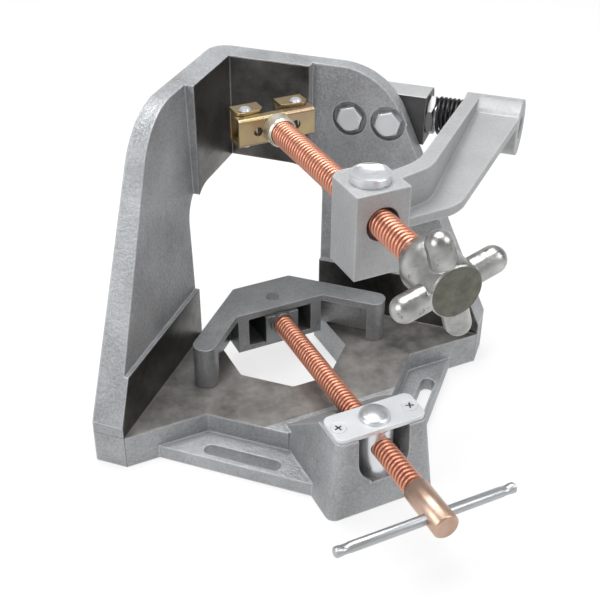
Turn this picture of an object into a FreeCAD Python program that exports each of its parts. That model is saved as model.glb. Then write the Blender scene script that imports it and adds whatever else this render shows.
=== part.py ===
import FreeCAD, Part
import math
import os

import Sketcher
from FreeCAD import Placement, Rotation, Vector

# Corner clamp for holding frame members square while they are joined.
# Frame: +Z up, the base stands on Z = 0, X = 0 is the casting's plane of symmetry and -Y is the handle side.
# The origin lies under the lower nut's swivel axis. The corner line, where the two machined wall faces meet,
# stands at Y = corner_y. Two more directions are used on the walls: "along" runs from the corner line along
# the right wall's face, and "out" runs square to that face, away from the work.

ROOT2 = math.sqrt(2)
X_AXIS, Y_AXIS, Z_AXIS = Vector(1, 0, 0), Vector(0, 1, 0), Vector(0, 0, 1)

os.makedirs("parts", exist_ok=True)
doc = FreeCAD.newDocument("CornerClamp")
sheet = doc.addObject("Spreadsheet::Sheet", "Sizes")

DRIVING = [
    # walls of the casting
    ("corner_y", 216, "corner line behind the lower swivel axis"),
    ("wall_height", 210, "height of the walls"),
    ("wall_length", 188, "length of a wall's face from the corner line"),
    ("wall_foot", 22, "wall thickness at the base"),
    ("wall_crown", 18.4, "wall thickness at the top"),
    ("wall_upright", 32, "height of the upright part of a wall's front edge"),
    ("crown_reach", 107, "where the sloping front edge would meet the top"),
    ("crown_radius", 48, "rounding of the wall's top front corner"),
    ("corner_radius", 13, "rounding of the casting's outer corner"),
    ("recess_foot", 3.2, "cast face behind the machined face, low down"),
    ("recess_crown", 6.6, "cast face behind the machined face, at the top"),
    ("upper_pad_reach", 57.5, "end of the upper machined pad"),
    ("lower_pad_top", 62.5, "top of the lower machined pads"),
    ("opening_reach", 66.5, "edge of the corner opening along a wall"),
    ("opening_top", 137.5, "top of the corner opening"),
    ("opening_radius", 23, "rounding of the corner opening"),
    # base and flanges
    ("base_top", 24.2, "machined base face"),
    ("flange_top", 9.9, "top of the slotted flanges"),
    ("base_front_half", 76.3, "half width where the machined face turns to the post"),
    ("flange_width", 24.3, "width of a slotted flange"),
    ("slot_inset", 16.2, "slot centre line from the raised base"),
    ("slot_start", 49.2, "first slot end centre along the flange"),
    ("slot_travel", 43, "distance between the slot end centres"),
    ("slot_half_width", 4.8, "half width of a slot"),
    ("window_half", 40.5, "half width of the base opening"),
    ("window_shoulder", 104, "where the base opening starts to narrow"),
    ("window_front", 131, "front edge of the base opening"),
    ("window_front_half", 13.5, "half width of the base opening's front edge"),
    # nut post
    ("post_top", 55.5, "top of the nut post"),
    ("post_foot_half", 37, "half width of the post at the base"),
    ("post_top_half", 31, "half width of the post at the top"),
    ("post_foot_front", 232.5, "front of the post at the base, from the corner"),
    ("post_top_front", 229, "front of the post at the top, from the corner"),
    ("post_foot_back", 134, "back of the post at the base, from the corner"),
    ("post_top_back", 203.5, "back of the post at the top, from the corner"),
    ("post_radius", 6, "rounding of the post's front edges"),
    ("nut_window_half", 17.3, "half width of the nut window"),
    ("nut_window_floor", 21, "lowest point of the nut window"),
    ("nut_well_floor", 9, "floor of the nut's lower bearing"),
    ("trough_half", 10, "half width of the spindle trough behind the nut"),
    # lower screw
    ("lower_axis", 43, "height of the lower spindle"),
    ("lower_thread_radius", 7, "lower spindle thread"),
    ("trunnion_radius", 12, "body of the lower nut"),
    ("trunnion_neck_radius", 9.6, "neck and dome of the lower nut"),
    ("dome_rise", 4.2, "height of the dome"),
    ("plate_length", 60, "retaining plate"),
    ("plate_width", 23.4, "retaining plate"),
    ("plate_thick", 3.2, "retaining plate"),
    ("plate_radius", 5, "retaining plate's corners"),
    ("screw_spacing", 48.8, "distance between the plate screws"),
    ("screw_head_radius", 5.1, "countersunk head"),
    ("screw_radius", 2.5, "plate screw"),
    ("screw_length", 16, "plate screw"),
    ("head_start", 264.5, "start of the spindle's plain head, from the corner"),
    ("head_end", 299, "end of the spindle's plain head, from the corner"),
    ("head_radius", 8.1, "spindle's plain head"),
    ("tee_bar_radius", 3.2, "cross handle"),
    ("tee_bar_length", 116, "cross handle"),
    ("tee_bar_offset", 6, "how far the handle lies to the left"),
    ("tee_bar_inset", 10.5, "cross handle's axis from the end of the head"),
    # lower jaw
    ("jaw_back", 47.5, "jaw's flat back from the corner"),
    ("jaw_flat_half", 22, "half width of the jaw's flat back"),
    ("jaw_reach", 75, "half width over the jaw's tips"),
    ("jaw_band", 15.8, "depth of the jaw's legs"),
    ("jaw_height", 31, "height of the jaw"),
    ("jaw_lift", 0.3, "gap between jaw and base"),
    ("jaw_skin", 5, "walls of the jaw"),
    ("jaw_tip_thick", 10.5, "solid end of each leg"),
    ("jaw_tip_radius", 7, "rounding of each leg's end"),
    ("jaw_post_half", 24, "half width inside the jaw's pillars"),
    ("jaw_post_width", 8, "width of each pillar"),
    ("block_half", 12.4, "half width of the swivel block"),
    ("block_back", 57.5, "back of the swivel block from the corner"),
    ("block_front", 84, "front of the swivel block from the corner"),
    ("bush_radius", 8.9, "round bush on the block's front"),
    ("bush_length", 2.4, "round bush on the block's front"),
    ("lower_nose_radius", 5, "spindle's plain nose inside the block"),
    ("pin_back", 67.8, "jaw pin from the corner"),
    ("pin_radius", 4.5, "jaw pin"),
    # bracket and pivot
    ("pivot_height", 174.5, "height of the arm's pivot"),
    ("seat_out", 18.0, "machined seat on the outside of the right wall"),
    ("bar_start", 70, "rear end of the bracket bar"),
    ("bar_end", 133.5, "front end of the bracket bar"),
    ("bar_thick", 25, "bracket bar"),
    ("bar_tall", 34, "bracket bar"),
    ("bar_radius", 7, "rounding of the bar's outer edges"),
    ("rear_bolt_along", 84.5, "rear bracket bolt"),
    ("front_bolt_along", 111, "front bracket bolt"),
    ("bolt_radius", 5, "bracket bolt shank"),
    ("bolt_across_flats", 16, "bracket bolt head"),
    ("bolt_head_thick", 6.4, "bracket bolt head"),
    ("bolt_reach", 20, "bolt's grip in the bar"),
    ("counterbore_radius", 12, "counterbore for the bolt head"),
    ("counterbore_floor", 10, "counterbore floor behind the machined face"),
    ("stud_radius", 8, "pivot stud"),
    ("stud_grip", 16, "stud's grip in the bar"),
    ("nut_across_flats", 24, "locking nut"),
    ("nut_thick", 7, "locking nut"),
    ("spring_radius", 10.7, "centre line of the coil spring"),
    ("spring_wire", 1.3, "radius of the spring wire"),
    ("spring_pitch", 3.1, "distance between the coils"),
    ("boss_start", 157.5, "rear face of the arm's boss"),
    ("boss_length", 37.8, "arm's boss"),
    ("boss_radius", 18.5, "arm's boss"),
    ("stud_recess", 5, "stud's end inside the boss"),
    # swing arm
    ("web_floor", 181.5, "underside of the arm's web"),
    ("web_thick", 5.5, "arm's web"),
    ("rib_width", 9, "arm's rib"),
    ("arm_turn", 108, "where the arm's edges turn to the block"),
    ("arm_width_end", 184, "outer edge of the web where it turns"),
    ("arm_bend", 30, "rounding of the arm's bend"),
    ("block_top", 208, "top of the nut block"),
    ("block_floor", 157, "underside of the nut block"),
    ("block_half_width", 16.3, "half width of the nut block"),
    ("block_near", 213, "front face of the nut block, from the corner"),
    ("block_far", 180, "back face of the nut block, from the corner"),
    ("block_bevel", 5, "bevelled back corners of the nut block"),
    # upper screw
    ("upper_axis", 189, "height of the upper spindle"),
    ("upper_nut_y", 197.5, "upper nut's axis from the corner"),
    ("upper_thread_radius", 8, "upper spindle thread"),
    ("upper_nut_radius", 11.2, "upper nut's body"),
    ("upper_nut_floor", 164, "underside of the upper nut"),
    ("cap_radius", 12.4, "upper nut's cap"),
    ("cap_thick", 4.6, "upper nut's cap"),
    ("cap_dish", 1.4, "hollow of the cap"),
    ("passage_radius", 10, "spindle passage through the block"),
    ("knob_start", 246, "rear end of the knob's cone, from the corner"),
    ("knob_face", 285, "knob's flat hub face, from the corner"),
    ("knob_throat_radius", 9.6, "knob's cone at the spindle"),
    ("knob_hub_radius", 14.6, "knob's hub"),
    ("lobe_reach", 32.6, "radius over the knob's lobes"),
    ("lobe_radius", 7.2, "rounding of a lobe"),
    ("lobe_angle", 17, "turn of the knob at rest"),
    ("spindle_in_knob", 274, "spindle's end inside the knob, from the corner"),
    # pressure pad
    ("socket_start", 78.5, "socket's seat on the channel, from the corner"),
    ("socket_length", 9, "round socket"),
    ("socket_radius", 10, "round socket"),
    ("socket_floor", 2.5, "closed end of the socket"),
    ("yoke_half", 26, "half width of the channel"),
    ("yoke_half_tall", 9.3, "half height of the channel"),
    ("yoke_sheet", 2.2, "sheet of the channel"),
    ("yoke_hole_radius", 3, "round holes in the channel's front"),
    ("yoke_hole_out", 13, "where those holes lie"),
    ("lug_radius", 5.5, "channel's round lug about a rivet"),
    ("rivet_out", 17.5, "shoe rivet from the middle"),
    ("rivet_behind", 10.5, "shoe rivet behind the channel's front"),
    ("rivet_radius", 2.5, "shoe rivet"),
    ("rivet_head_radius", 4, "shoe rivet's head"),
    ("rivet_head_rise", 1.2, "shoe rivet's head"),
    ("shoe_sheet", 1.8, "sheet of a shoe"),
    ("shoe_outer", 7, "shoe from the rivet outwards"),
    ("shoe_inner", 11.5, "shoe from the rivet inwards"),
    ("shoe_behind", 7, "shoe's pad behind the rivet"),
    ("shoe_nose", 5, "shoe's ears in front of the rivet"),
    # fits
    ("running_fit", 0.06, "radial play of a shaft in its bore"),
    ("seat_fit", 0.04, "radial play of a fixed piece in its hole"),
    ("side_gap", 0.3, "play between faces that pass each other"),
]


class Size:
    """A number that remembers the spreadsheet formula it came from."""

    def __init__(self, number, formula):
        self.number = number
        self.formula = formula

    def joined(self, sign, other, number):
        return Size(number, f"({self.formula} {sign} {other.formula})")

    def __add__(self, other):
        other = as_size(other)
        return self.joined("+", other, self.number + other.number)

    def __sub__(self, other):
        other = as_size(other)
        return self.joined("-", other, self.number - other.number)

    def __mul__(self, other):
        other = as_size(other)
        return self.joined("*", other, self.number * other.number)

    def __truediv__(self, other):
        other = as_size(other)
        return self.joined("/", other, self.number / other.number)

    def __radd__(self, other):
        return as_size(other) + self

    def __rsub__(self, other):
        return as_size(other) - self

    def __rmul__(self, other):
        return as_size(other) * self

    def __neg__(self):
        return Size(-self.number, f"(0 - {self.formula})")


def as_size(value):
    """Plain numbers may stand wherever a Size does."""
    return value if isinstance(value, Size) else Size(float(value), f"{float(value):.12g}")


class Dimensions:
    """The driving dimensions: d.wall_height is the cell with that alias."""

    def __init__(self, rows):
        for row, (alias, number, note) in enumerate(rows, start=1):
            sheet.set(f"A{row}", note)
            sheet.set(f"B{row}", str(number))
            sheet.setAlias(f"B{row}", alias)
        doc.recompute()
        for alias, _, _ in rows:
            setattr(self, alias, Size(float(sheet.get(alias)), f"Sizes.{alias}"))


d = Dimensions(DRIVING)


def bind(thing, prop, value):
    """Set a property from a Size, and keep it bound to the spreadsheet."""
    value = as_size(value)
    if "." not in prop:
        setattr(thing, prop, value.number)
    thing.setExpression(prop, value.formula)


def new_body(label):
    body = doc.addObject("PartDesign::Body", label)
    body.Label = label
    return body


def origin_part(body, role):
    """The body's own origin plane or axis with that role."""
    return next(item for item in body.Origin.OriginFeatures if item.Role == role)


def sketch_on(body, name, plane, at=(0, 0, 0), turn=0):
    """A sketch on the body's origin plane, moved by at (in the plane's own axes) and turned about Z by turn."""
    drawing = body.newObject("Sketcher::SketchObject", name)
    drawing.AttachmentSupport = [(origin_part(body, plane), "")]
    drawing.MapMode = "FlatFace"
    upright = Z_AXIS if plane == "XY_Plane" else Y_AXIS
    at = [as_size(part) for part in at]
    drawing.AttachmentOffset = Placement(Vector(*[part.number for part in at]), Rotation(upright, turn))
    for part, letter in zip(at, "xyz"):
        drawing.setExpression(f"AttachmentOffset.Base.{letter}", part.formula)
    drawing.Visibility = False
    return drawing


def plan_sketch(body, name, height=0):
    """Seen from above: x across, y from the corner line (negative towards the handle)."""
    return sketch_on(body, name, "XY_Plane", (0, d.corner_y, height))


def plan_sketch_on_wall(body, name, height=0):
    """Seen from above, turned to the right wall: x along the wall, y out through it."""
    return sketch_on(body, name, "XY_Plane", (0, d.corner_y, height), -45)


def wall_face_sketch(body, name, out=0):
    """On the right wall's machined face, or a plane behind it: x along the wall, y up, normal to the work."""
    out = as_size(out)
    return sketch_on(body, name, "XZ_Plane", (out / ROOT2, 0, 0 - d.corner_y - out / ROOT2), -45)


def wall_section_sketch(body, name, along=0):
    """Across the right wall: x out through the wall, y up, normal along the wall to its front edge."""
    along = as_size(along)
    return sketch_on(body, name, "XZ_Plane", (along / ROOT2, 0, along / ROOT2 - d.corner_y), 45)


def front_sketch(body, name, from_corner=0):
    """Seen from the handle side: x across, y up, normal towards the handle."""
    return sketch_on(body, name, "XZ_Plane", (0, 0, from_corner - d.corner_y))


def side_sketch(body, name, height=0, across=0):
    """Seen from the right: x from the corner line (negative towards the handle), y up from height."""
    return sketch_on(body, name, "YZ_Plane", (d.corner_y, height, across))


def fix_point(drawing, geometry, end, x, y, tag):
    """Hold one point at x, y of the sketch by two driving dimensions."""
    for value, kind, axis, letter in ((x, "DistanceX", -2, "x"), (y, "DistanceY", -1, "y")):
        value = as_size(value)
        if value.formula == "0":
            drawing.addConstraint(Sketcher.Constraint("PointOnObject", geometry, end, axis))
            continue
        rule = drawing.addConstraint(Sketcher.Constraint(kind, -1, 1, geometry, end, value.number))
        drawing.renameConstraint(rule, f"{letter}{tag}")
        drawing.setExpression(f"Constraints.{letter}{tag}", value.formula)


def fix_radius(drawing, geometry, radius, tag):
    rule = drawing.addConstraint(Sketcher.Constraint("Radius", geometry, radius.number))
    drawing.renameConstraint(rule, f"r{tag}")
    drawing.setExpression(f"Constraints.r{tag}", radius.formula)


def rounding(before, corner, after, radius):
    """Tangent points and centre of the arc that rounds a corner, and whether it turns left."""
    entry = (corner - before).normalize()
    leave = (after - corner).normalize()
    left = entry.cross(leave).z > 0
    reach = radius * math.tan(entry.getAngle(leave) / 2)
    first = corner - entry * reach
    side = Vector(-entry.y, entry.x, 0) if left else Vector(entry.y, -entry.x, 0)
    return first, corner + leave * reach, first + side * radius, left


def arc_between(centre, start, end):
    """The counter-clockwise arc about centre from start to end."""
    radius = (start - centre).Length
    from_angle = math.atan2(start.y - centre.y, start.x - centre.x)
    to_angle = math.atan2(end.y - centre.y, end.x - centre.x)
    return Part.ArcOfCircle(Part.Circle(centre, Z_AXIS, radius), from_angle, to_angle)


def outline(drawing, corners):
    """A closed outline through corners (x, y) or (x, y, radius), every one bound to its sizes."""
    points = [Vector(as_size(c[0]).number, as_size(c[1]).number, 0) for c in corners]
    radii = [as_size(c[2]) if len(c) > 2 else None for c in corners]
    count = len(corners)
    starts, ends, arcs = list(points), list(points), {}
    for i in range(count):
        if radii[i]:
            first, second, centre, left = rounding(points[i - 1], points[i], points[(i + 1) % count], radii[i].number)
            ends[i], starts[i] = first, second
            arcs[i] = (centre, left)
    lines = [drawing.addGeometry(Part.LineSegment(starts[i], ends[(i + 1) % count])) for i in range(count)]
    base = drawing.GeometryCount
    for i in range(count):
        tag = f"{base}_{i}"
        before, after = lines[i - 1], lines[i]
        if i not in arcs:
            drawing.addConstraint(Sketcher.Constraint("Coincident", before, 2, after, 1))
            fix_point(drawing, after, 1, corners[i][0], corners[i][1], tag)
            continue
        centre, left = arcs[i]
        ends_of_arc = (ends[i], starts[i]) if left else (starts[i], ends[i])
        arc = drawing.addGeometry(arc_between(centre, *ends_of_arc))
        entry_end, leave_end = (1, 2) if left else (2, 1)
        drawing.addConstraint(Sketcher.Constraint("Tangent", before, 2, arc, entry_end))
        drawing.addConstraint(Sketcher.Constraint("Tangent", after, 1, arc, leave_end))
        fix_radius(drawing, arc, radii[i], tag)
        sharp = drawing.addGeometry(Part.Point(points[i]), True)
        fix_point(drawing, sharp, 1, corners[i][0], corners[i][1], tag)
        drawing.addConstraint(Sketcher.Constraint("PointOnObject", sharp, 1, before))
        drawing.addConstraint(Sketcher.Constraint("PointOnObject", sharp, 1, after))
    return drawing


def circle(drawing, x, y, radius):
    """A circle bound to its sizes."""
    radius = as_size(radius)
    centre = Vector(as_size(x).number, as_size(y).number, 0)
    ring = drawing.addGeometry(Part.Circle(centre, Z_AXIS, radius.number))
    fix_point(drawing, ring, 3, x, y, f"c{ring}")
    fix_radius(drawing, ring, radius, f"c{ring}")
    return drawing


def long_slot(drawing, x1, y1, x2, y2, radius):
    """A round-ended slot between two end centres; the second lies further along +x or +y."""
    radius = as_size(radius)
    first = Vector(as_size(x1).number, as_size(y1).number, 0)
    second = Vector(as_size(x2).number, as_size(y2).number, 0)
    run = (second - first).normalize()
    side = Vector(-run.y, run.x, 0) * radius.number
    near = drawing.addGeometry(arc_between(first, first + side, first - side))
    low = drawing.addGeometry(Part.LineSegment(first - side, second - side))
    far = drawing.addGeometry(arc_between(second, second - side, second + side))
    high = drawing.addGeometry(Part.LineSegment(second + side, first + side))
    for one, next_one in ((near, low), (low, far), (far, high), (high, near)):
        drawing.addConstraint(Sketcher.Constraint("Tangent", one, 2, next_one, 1))
    fix_point(drawing, near, 3, x1, y1, f"s{near}")
    fix_point(drawing, far, 3, x2, y2, f"s{far}")
    fix_radius(drawing, near, radius, f"s{near}")
    return drawing


def finish_feature(body, feature, more):
    """Recompute, and stop if the feature added or removed nothing."""
    before = body.Shape.Volume if body.Shape and not body.Shape.isNull() else 0
    body.Tip = feature
    doc.recompute()
    change = body.Shape.Volume - before
    if (change <= 1e-3) if more else (change >= -1e-3):
        raise RuntimeError(f"{body.Label} {feature.Name} changed nothing ({change:.3f})")
    return feature


def pad(body, drawing, length, reverse=False, both=False):
    feature = body.newObject("PartDesign::Pad", f"{drawing.Name}Pad")
    feature.Profile = drawing
    bind(feature, "Length", length)
    feature.Reversed = reverse
    feature.SideType = "Symmetric" if both else "One side"
    return finish_feature(body, feature, True)


def pocket(body, drawing, length=None, reverse=False, both=False):
    """Cut against the sketch's normal, or along it when reversed, or both ways."""
    feature = body.newObject("PartDesign::Pocket", f"{drawing.Name}Cut")
    feature.Profile = drawing
    feature.Reversed = reverse
    feature.SideType = "Symmetric" if both else "One side"
    if length is None:
        feature.Type = "ThroughAll"
    else:
        bind(feature, "Length", length)
    return finish_feature(body, feature, False)


def turned(body, drawing, axis):
    feature = body.newObject("PartDesign::Revolution", f"{drawing.Name}Turn")
    feature.Profile = drawing
    feature.ReferenceAxis = (drawing, [axis])
    feature.Angle = 360
    return finish_feature(body, feature, True)


def grooved(body, drawing, axis):
    feature = body.newObject("PartDesign::Groove", f"{drawing.Name}Groove")
    feature.Profile = drawing
    feature.ReferenceAxis = (drawing, [axis])
    feature.Angle = 360
    return finish_feature(body, feature, False)


def mirrored(body, originals, more):
    feature = body.newObject("PartDesign::Mirrored", f"{originals[0].Name}Mirror")
    feature.Originals = originals
    feature.MirrorPlane = (origin_part(body, "YZ_Plane"), [""])
    return finish_feature(body, feature, more)


def edges_where(shape, test):
    """Names of the edges whose two ends and middle all pass the test."""
    names = []
    for number, edge in enumerate(shape.Edges, start=1):
        middle = edge.valueAt((edge.FirstParameter + edge.LastParameter) / 2)
        if all(test(point) for point in [middle] + [vertex.Point for vertex in edge.Vertexes]):
            names.append(f"Edge{number}")
    return names


def fillet(body, radius, test, more=False):
    """Round the edges that pass the test; more says that the rounding adds metal."""
    last = body.Tip
    names = edges_where(last.Shape, test)
    if not names:
        raise RuntimeError(f"{body.Label}: no edge to round")
    feature = body.newObject("PartDesign::Fillet", f"{body.Name}Fillet")
    feature.Base = (last, names)
    bind(feature, "Radius", radius)
    return finish_feature(body, feature, more)


def near(value, target, play=0.05):
    return abs(value - as_size(target).number) < play


def primitive(kind, name, **values):
    """A Part primitive with its sizes bound."""
    solid = doc.addObject(kind, name)
    for prop, value in values.items():
        bind(solid, prop, value)
    return solid


def place(solid, x, y, z, axis=Z_AXIS, angle=0):
    """Put a primitive at x, y, z (y from the corner line), turned about axis by angle."""
    spot = [as_size(x), d.corner_y + y, as_size(z)]
    solid.Placement = Placement(Vector(*[part.number for part in spot]), Rotation(axis, angle))
    for part, letter in zip(spot, "xyz"):
        solid.setExpression(f"Placement.Base.{letter}", part.formula)
    return solid


def on_wall(along, out):
    """Across and from-corner coordinates of a place given along and out from the right wall."""
    along, out = as_size(along), as_size(out)
    return (along + out) / ROOT2, (out - along) / ROOT2


TO_OUT = (Vector(-1, 1, 0).normalize(), 90)
TO_ALONG = (Vector(1, 1, 0).normalize(), 90)


def fused(label, pieces):
    whole = doc.addObject("Part::MultiFuse", label)
    whole.Label = label
    whole.Shapes = pieces
    whole.Refine = True
    doc.recompute()
    return whole


def grouped(label, pieces):
    """Like pieces that share one node, kept as separate solids."""
    group = doc.addObject("Part::Compound", label)
    group.Label = label
    group.Links = pieces
    doc.recompute()
    return group


def wall_front(body):
    """Outline of a wall on its face: foot, upright stretch, slope, round crown and the square corner."""
    drawing = wall_face_sketch(body, "WallFace")
    return outline(drawing, [
        (-d.wall_foot, 0), (d.wall_length, 0), (d.wall_length, d.wall_upright),
        (d.crown_reach, d.wall_height, d.crown_radius), (-d.wall_foot, d.wall_height)])


def add_walls(body):
    wall = pad(body, wall_front(body), d.wall_foot, reverse=True)
    mirrored(body, [wall], True)


def add_base(body):
    front = d.wall_length / ROOT2
    flange_front_half = d.base_front_half + d.flange_width * ROOT2
    flange_nose = front + flange_front_half - d.post_foot_half
    flange = plan_sketch(body, "Flange")
    outline(flange, [
        (0, 0), (front, -front), (flange_front_half, -front),
        (d.post_foot_half, -flange_nose), (0, -flange_nose)])
    flange_pad = pad(body, flange, d.flange_top)
    base_nose = front + d.base_front_half - d.post_foot_half
    base = plan_sketch(body, "Base")
    outline(base, [
        (0, 0), (front, -front), (d.base_front_half, -front, 4),
        (d.post_foot_half, -base_nose), (0, -base_nose)])
    base_pad = pad(body, base, d.base_top)
    mirrored(body, [flange_pad, base_pad], True)


def add_post(body):
    """The post that carries the nut, drawn in towards its top on every side."""
    foot = plan_sketch(body, "PostFoot")
    outline(foot, [
        (-d.post_foot_half, -d.post_foot_back), (d.post_foot_half, -d.post_foot_back),
        (d.post_foot_half, -d.post_foot_front), (-d.post_foot_half, -d.post_foot_front)])
    top = plan_sketch(body, "PostTop", d.post_top)
    outline(top, [
        (-d.post_top_half, -d.post_top_back), (d.post_top_half, -d.post_top_back),
        (d.post_top_half, -d.post_top_front), (-d.post_top_half, -d.post_top_front)])
    loft = body.newObject("PartDesign::AdditiveLoft", "PostLoft")
    loft.Profile = foot
    loft.Sections = [(top, [""])]
    loft.Ruled = True
    finish_feature(body, loft, True)
    front = -d.post_top_front.number + 1

    def front_corner(point):
        return point.y - d.corner_y.number < front and abs(point.x) > d.post_top_half.number - 0.1
    fillet(body, d.post_radius, front_corner)


def taper_walls(body):
    """Draw the outer faces in towards the top, and set the cast inner faces back behind the machined pads."""
    outer = wall_section_sketch(body, "OuterDraft", -40)
    outline(outer, [
        (d.wall_foot, 0), (d.wall_foot + 20, 0), (d.wall_foot + 20, d.wall_height + 1),
        (d.wall_crown, d.wall_height + 1)])
    outer_cut = pocket(body, outer, reverse=True)
    inner = wall_section_sketch(body, "InnerRecess", d.upper_pad_reach)
    outline(inner, [
        (-1, d.lower_pad_top), (d.recess_foot, d.lower_pad_top), (d.recess_crown, d.wall_height + 1),
        (-1, d.wall_height + 1)])
    inner_cut = pocket(body, inner, reverse=True)
    mirrored(body, [outer_cut, inner_cut], False)


def open_corner(body):
    """The opening through the corner and the window in the base."""
    opening = wall_face_sketch(body, "Opening")
    outline(opening, [
        (-d.wall_foot - 8, -1), (d.opening_reach, -1), (d.opening_reach, d.opening_top, d.opening_radius),
        (-d.wall_foot - 8, d.opening_top)])
    cut = pocket(body, opening, 2 * d.wall_foot, both=True)
    window = plan_sketch(body, "Window", -1)
    outline(window, [
        (0, 0), (d.window_half, -d.window_half), (d.window_half, -d.window_shoulder, 4),
        (d.window_front_half, -d.window_front, 4), (0, -d.window_front)])
    window_cut = pocket(body, window, d.base_top + 2, reverse=True)
    mirrored(body, [cut, window_cut], False)


def cut_slots(body):
    """One long slot in each flange, running along it."""
    slot = sketch_on(body, "Slot", "XY_Plane", (0, d.corner_y, -1), 45)
    nose = (d.base_front_half + d.wall_length / ROOT2) / ROOT2
    line = -nose - d.slot_inset
    far = -d.slot_start - d.slot_travel
    long_slot(slot, far, line, -d.slot_start, line, d.slot_half_width)
    cut = pocket(body, slot, d.flange_top + 2, reverse=True)
    mirrored(body, [cut], False)


def hollow_post(body):
    """Round-bottomed nut window at the front, spindle trough at the back and the nut's lower bearing."""
    window = front_sketch(body, "NutWindow", d.corner_y)
    high = d.post_top + 5
    outline(window, [
        (-d.nut_window_half, high), (-d.nut_window_half, d.nut_window_floor, d.nut_window_half - 0.5),
        (d.nut_window_half, d.nut_window_floor, d.nut_window_half - 0.5), (d.nut_window_half, high)])
    pocket(body, window, 40, reverse=True)
    well = sketch_on(body, "NutWell", "XZ_Plane")
    outline(well, [
        (0, d.nut_window_floor), (d.nut_window_half, d.nut_window_floor), (d.nut_window_half, high), (0, high)])
    grooved(body, well, "V_Axis")
    bearing = sketch_on(body, "NutBearing", "XY_Plane", (0, 0, d.nut_well_floor))
    circle(bearing, 0, 0, d.trunnion_radius + d.running_fit)
    pocket(body, bearing, d.nut_window_floor - d.nut_well_floor + 1, reverse=True)
    trough = front_sketch(body, "Trough", d.corner_y)
    floor = d.lower_axis - d.trough_half
    outline(trough, [
        (-d.trough_half, high), (-d.trough_half, floor, d.trough_half - 0.5),
        (d.trough_half, floor, d.trough_half - 0.5), (d.trough_half, high)])
    pocket(body, trough, d.corner_y - d.post_foot_back)
    holes = sketch_on(body, "PlateScrewHoles", "XY_Plane", (0, 0, d.post_top))
    for side in (-1, 1):
        circle(holes, side * d.screw_spacing / 2, 0, d.screw_radius + d.seat_fit)
    pocket(body, holes, d.screw_length)


def cut_bracket_seat(body):
    """Flat seat for the bar outside the right wall, and the two counterbored bolt holes inside it."""
    seat = wall_face_sketch(body, "BarSeat", d.seat_out)
    low, high = d.pivot_height - d.bar_tall / 2, d.pivot_height + d.bar_tall / 2
    start = d.bar_start - 1
    outline(seat, [
        (start, low - 1), (d.wall_length, low - 1), (d.wall_length, high + 1), (start, high + 1)])
    pocket(body, seat, 12)
    for name, radius, depth in (("Counterbore", d.counterbore_radius, d.counterbore_floor),
                                ("BoltHole", d.bolt_radius + d.seat_fit, d.wall_foot + 5)):
        holes = wall_face_sketch(body, name)
        for along in (d.rear_bolt_along, d.front_bolt_along):
            circle(holes, along, d.pivot_height, radius)
        pocket(body, holes, depth)


def round_casting(body):
    """Cast rounding of the outer corner above the opening."""
    opening = d.opening_top.number

    def outer_corner(point):
        return abs(point.x) < 0.1 and point.y > d.corner_y.number + 5 and point.z > opening - 1
    fillet(body, d.corner_radius, outer_corner)


def body_casting():
    body = new_body("body_casting")
    add_walls(body)
    add_base(body)
    add_post(body)
    taper_walls(body)
    open_corner(body)
    cut_slots(body)
    hollow_post(body)
    cut_bracket_seat(body)
    round_casting(body)
    return body


def lower_trunnion():
    """The lower nut: bearing, body, neck through the plate and a shallow dome, cross-bored for the spindle."""
    body = new_body("lower_trunnion")
    profile = sketch_on(body, "Profile", "XZ_Plane")
    shoulder = d.post_top - d.side_gap
    plate_top = d.post_top + d.plate_thick
    floor = d.nut_well_floor + d.side_gap
    outline(profile, [
        (0, floor), (d.trunnion_radius, floor), (d.trunnion_radius, shoulder),
        (d.trunnion_neck_radius, shoulder), (d.trunnion_neck_radius, plate_top + 1.2),
        (d.trunnion_neck_radius * 0.62, plate_top + d.dome_rise * 0.85), (0, plate_top + d.dome_rise)])
    turned(body, profile, "V_Axis")
    bore = front_sketch(body, "Bore", d.corner_y)
    circle(bore, 0, d.lower_axis, d.lower_thread_radius + d.running_fit)
    pocket(body, bore, 4 * d.trunnion_radius, both=True)
    return body


def retaining_plate():
    body = new_body("retaining_plate")
    plan = sketch_on(body, "Plan", "XY_Plane", (0, 0, d.post_top))
    half, deep, radius = d.plate_length / 2, d.plate_width / 2, d.plate_radius
    outline(plan, [(-half, -deep, radius), (half, -deep, radius), (half, deep, radius), (-half, deep, radius)])
    circle(plan, 0, 0, d.trunnion_neck_radius + d.running_fit)
    pad(body, plan, d.plate_thick)
    for side, name in ((-1, "LeftSink"), (1, "RightSink")):
        sink = sketch_on(body, name, "XZ_Plane")
        middle = side * d.screw_spacing / 2
        top = d.post_top + d.plate_thick
        wide, narrow = d.screw_head_radius + d.seat_fit, d.screw_radius + d.seat_fit
        drop = wide - narrow
        outline(sink, [
            (middle, d.post_top - 1), (middle + narrow, d.post_top - 1), (middle + narrow, top - drop),
            (middle + wide, top), (middle + wide, top + 1), (middle, top + 1)])
        axis_line = sink.GeometryCount
        sink.addGeometry(Part.LineSegment(Vector(middle.number, 0, 0), Vector(middle.number, 10, 0)), True)
        fix_point(sink, axis_line, 1, middle, 0, "axis_foot")
        fix_point(sink, axis_line, 2, middle, 10, "axis_head")
        grooved(body, sink, "Axis0")
    return body


def plate_screws():
    """Two countersunk screws through the plate into the post."""
    screws = []
    top = d.post_top + d.plate_thick
    drop = d.screw_head_radius - d.screw_radius
    for side in (-1, 1):
        head = primitive("Part::Cone", "ScrewHead", Radius1=d.screw_radius, Radius2=d.screw_head_radius, Height=drop)
        shank = primitive("Part::Cylinder", "ScrewShank", Radius=d.screw_radius, Height=d.screw_length - 1)
        middle = side * d.screw_spacing / 2
        place(head, middle, -d.corner_y, top - drop)
        place(shank, middle, -d.corner_y, top - d.screw_length + 1 - 0.01)
        screws.append(fused("PlateScrew", [head, shank]))
    return grouped("plate_screws", screws)


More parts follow.
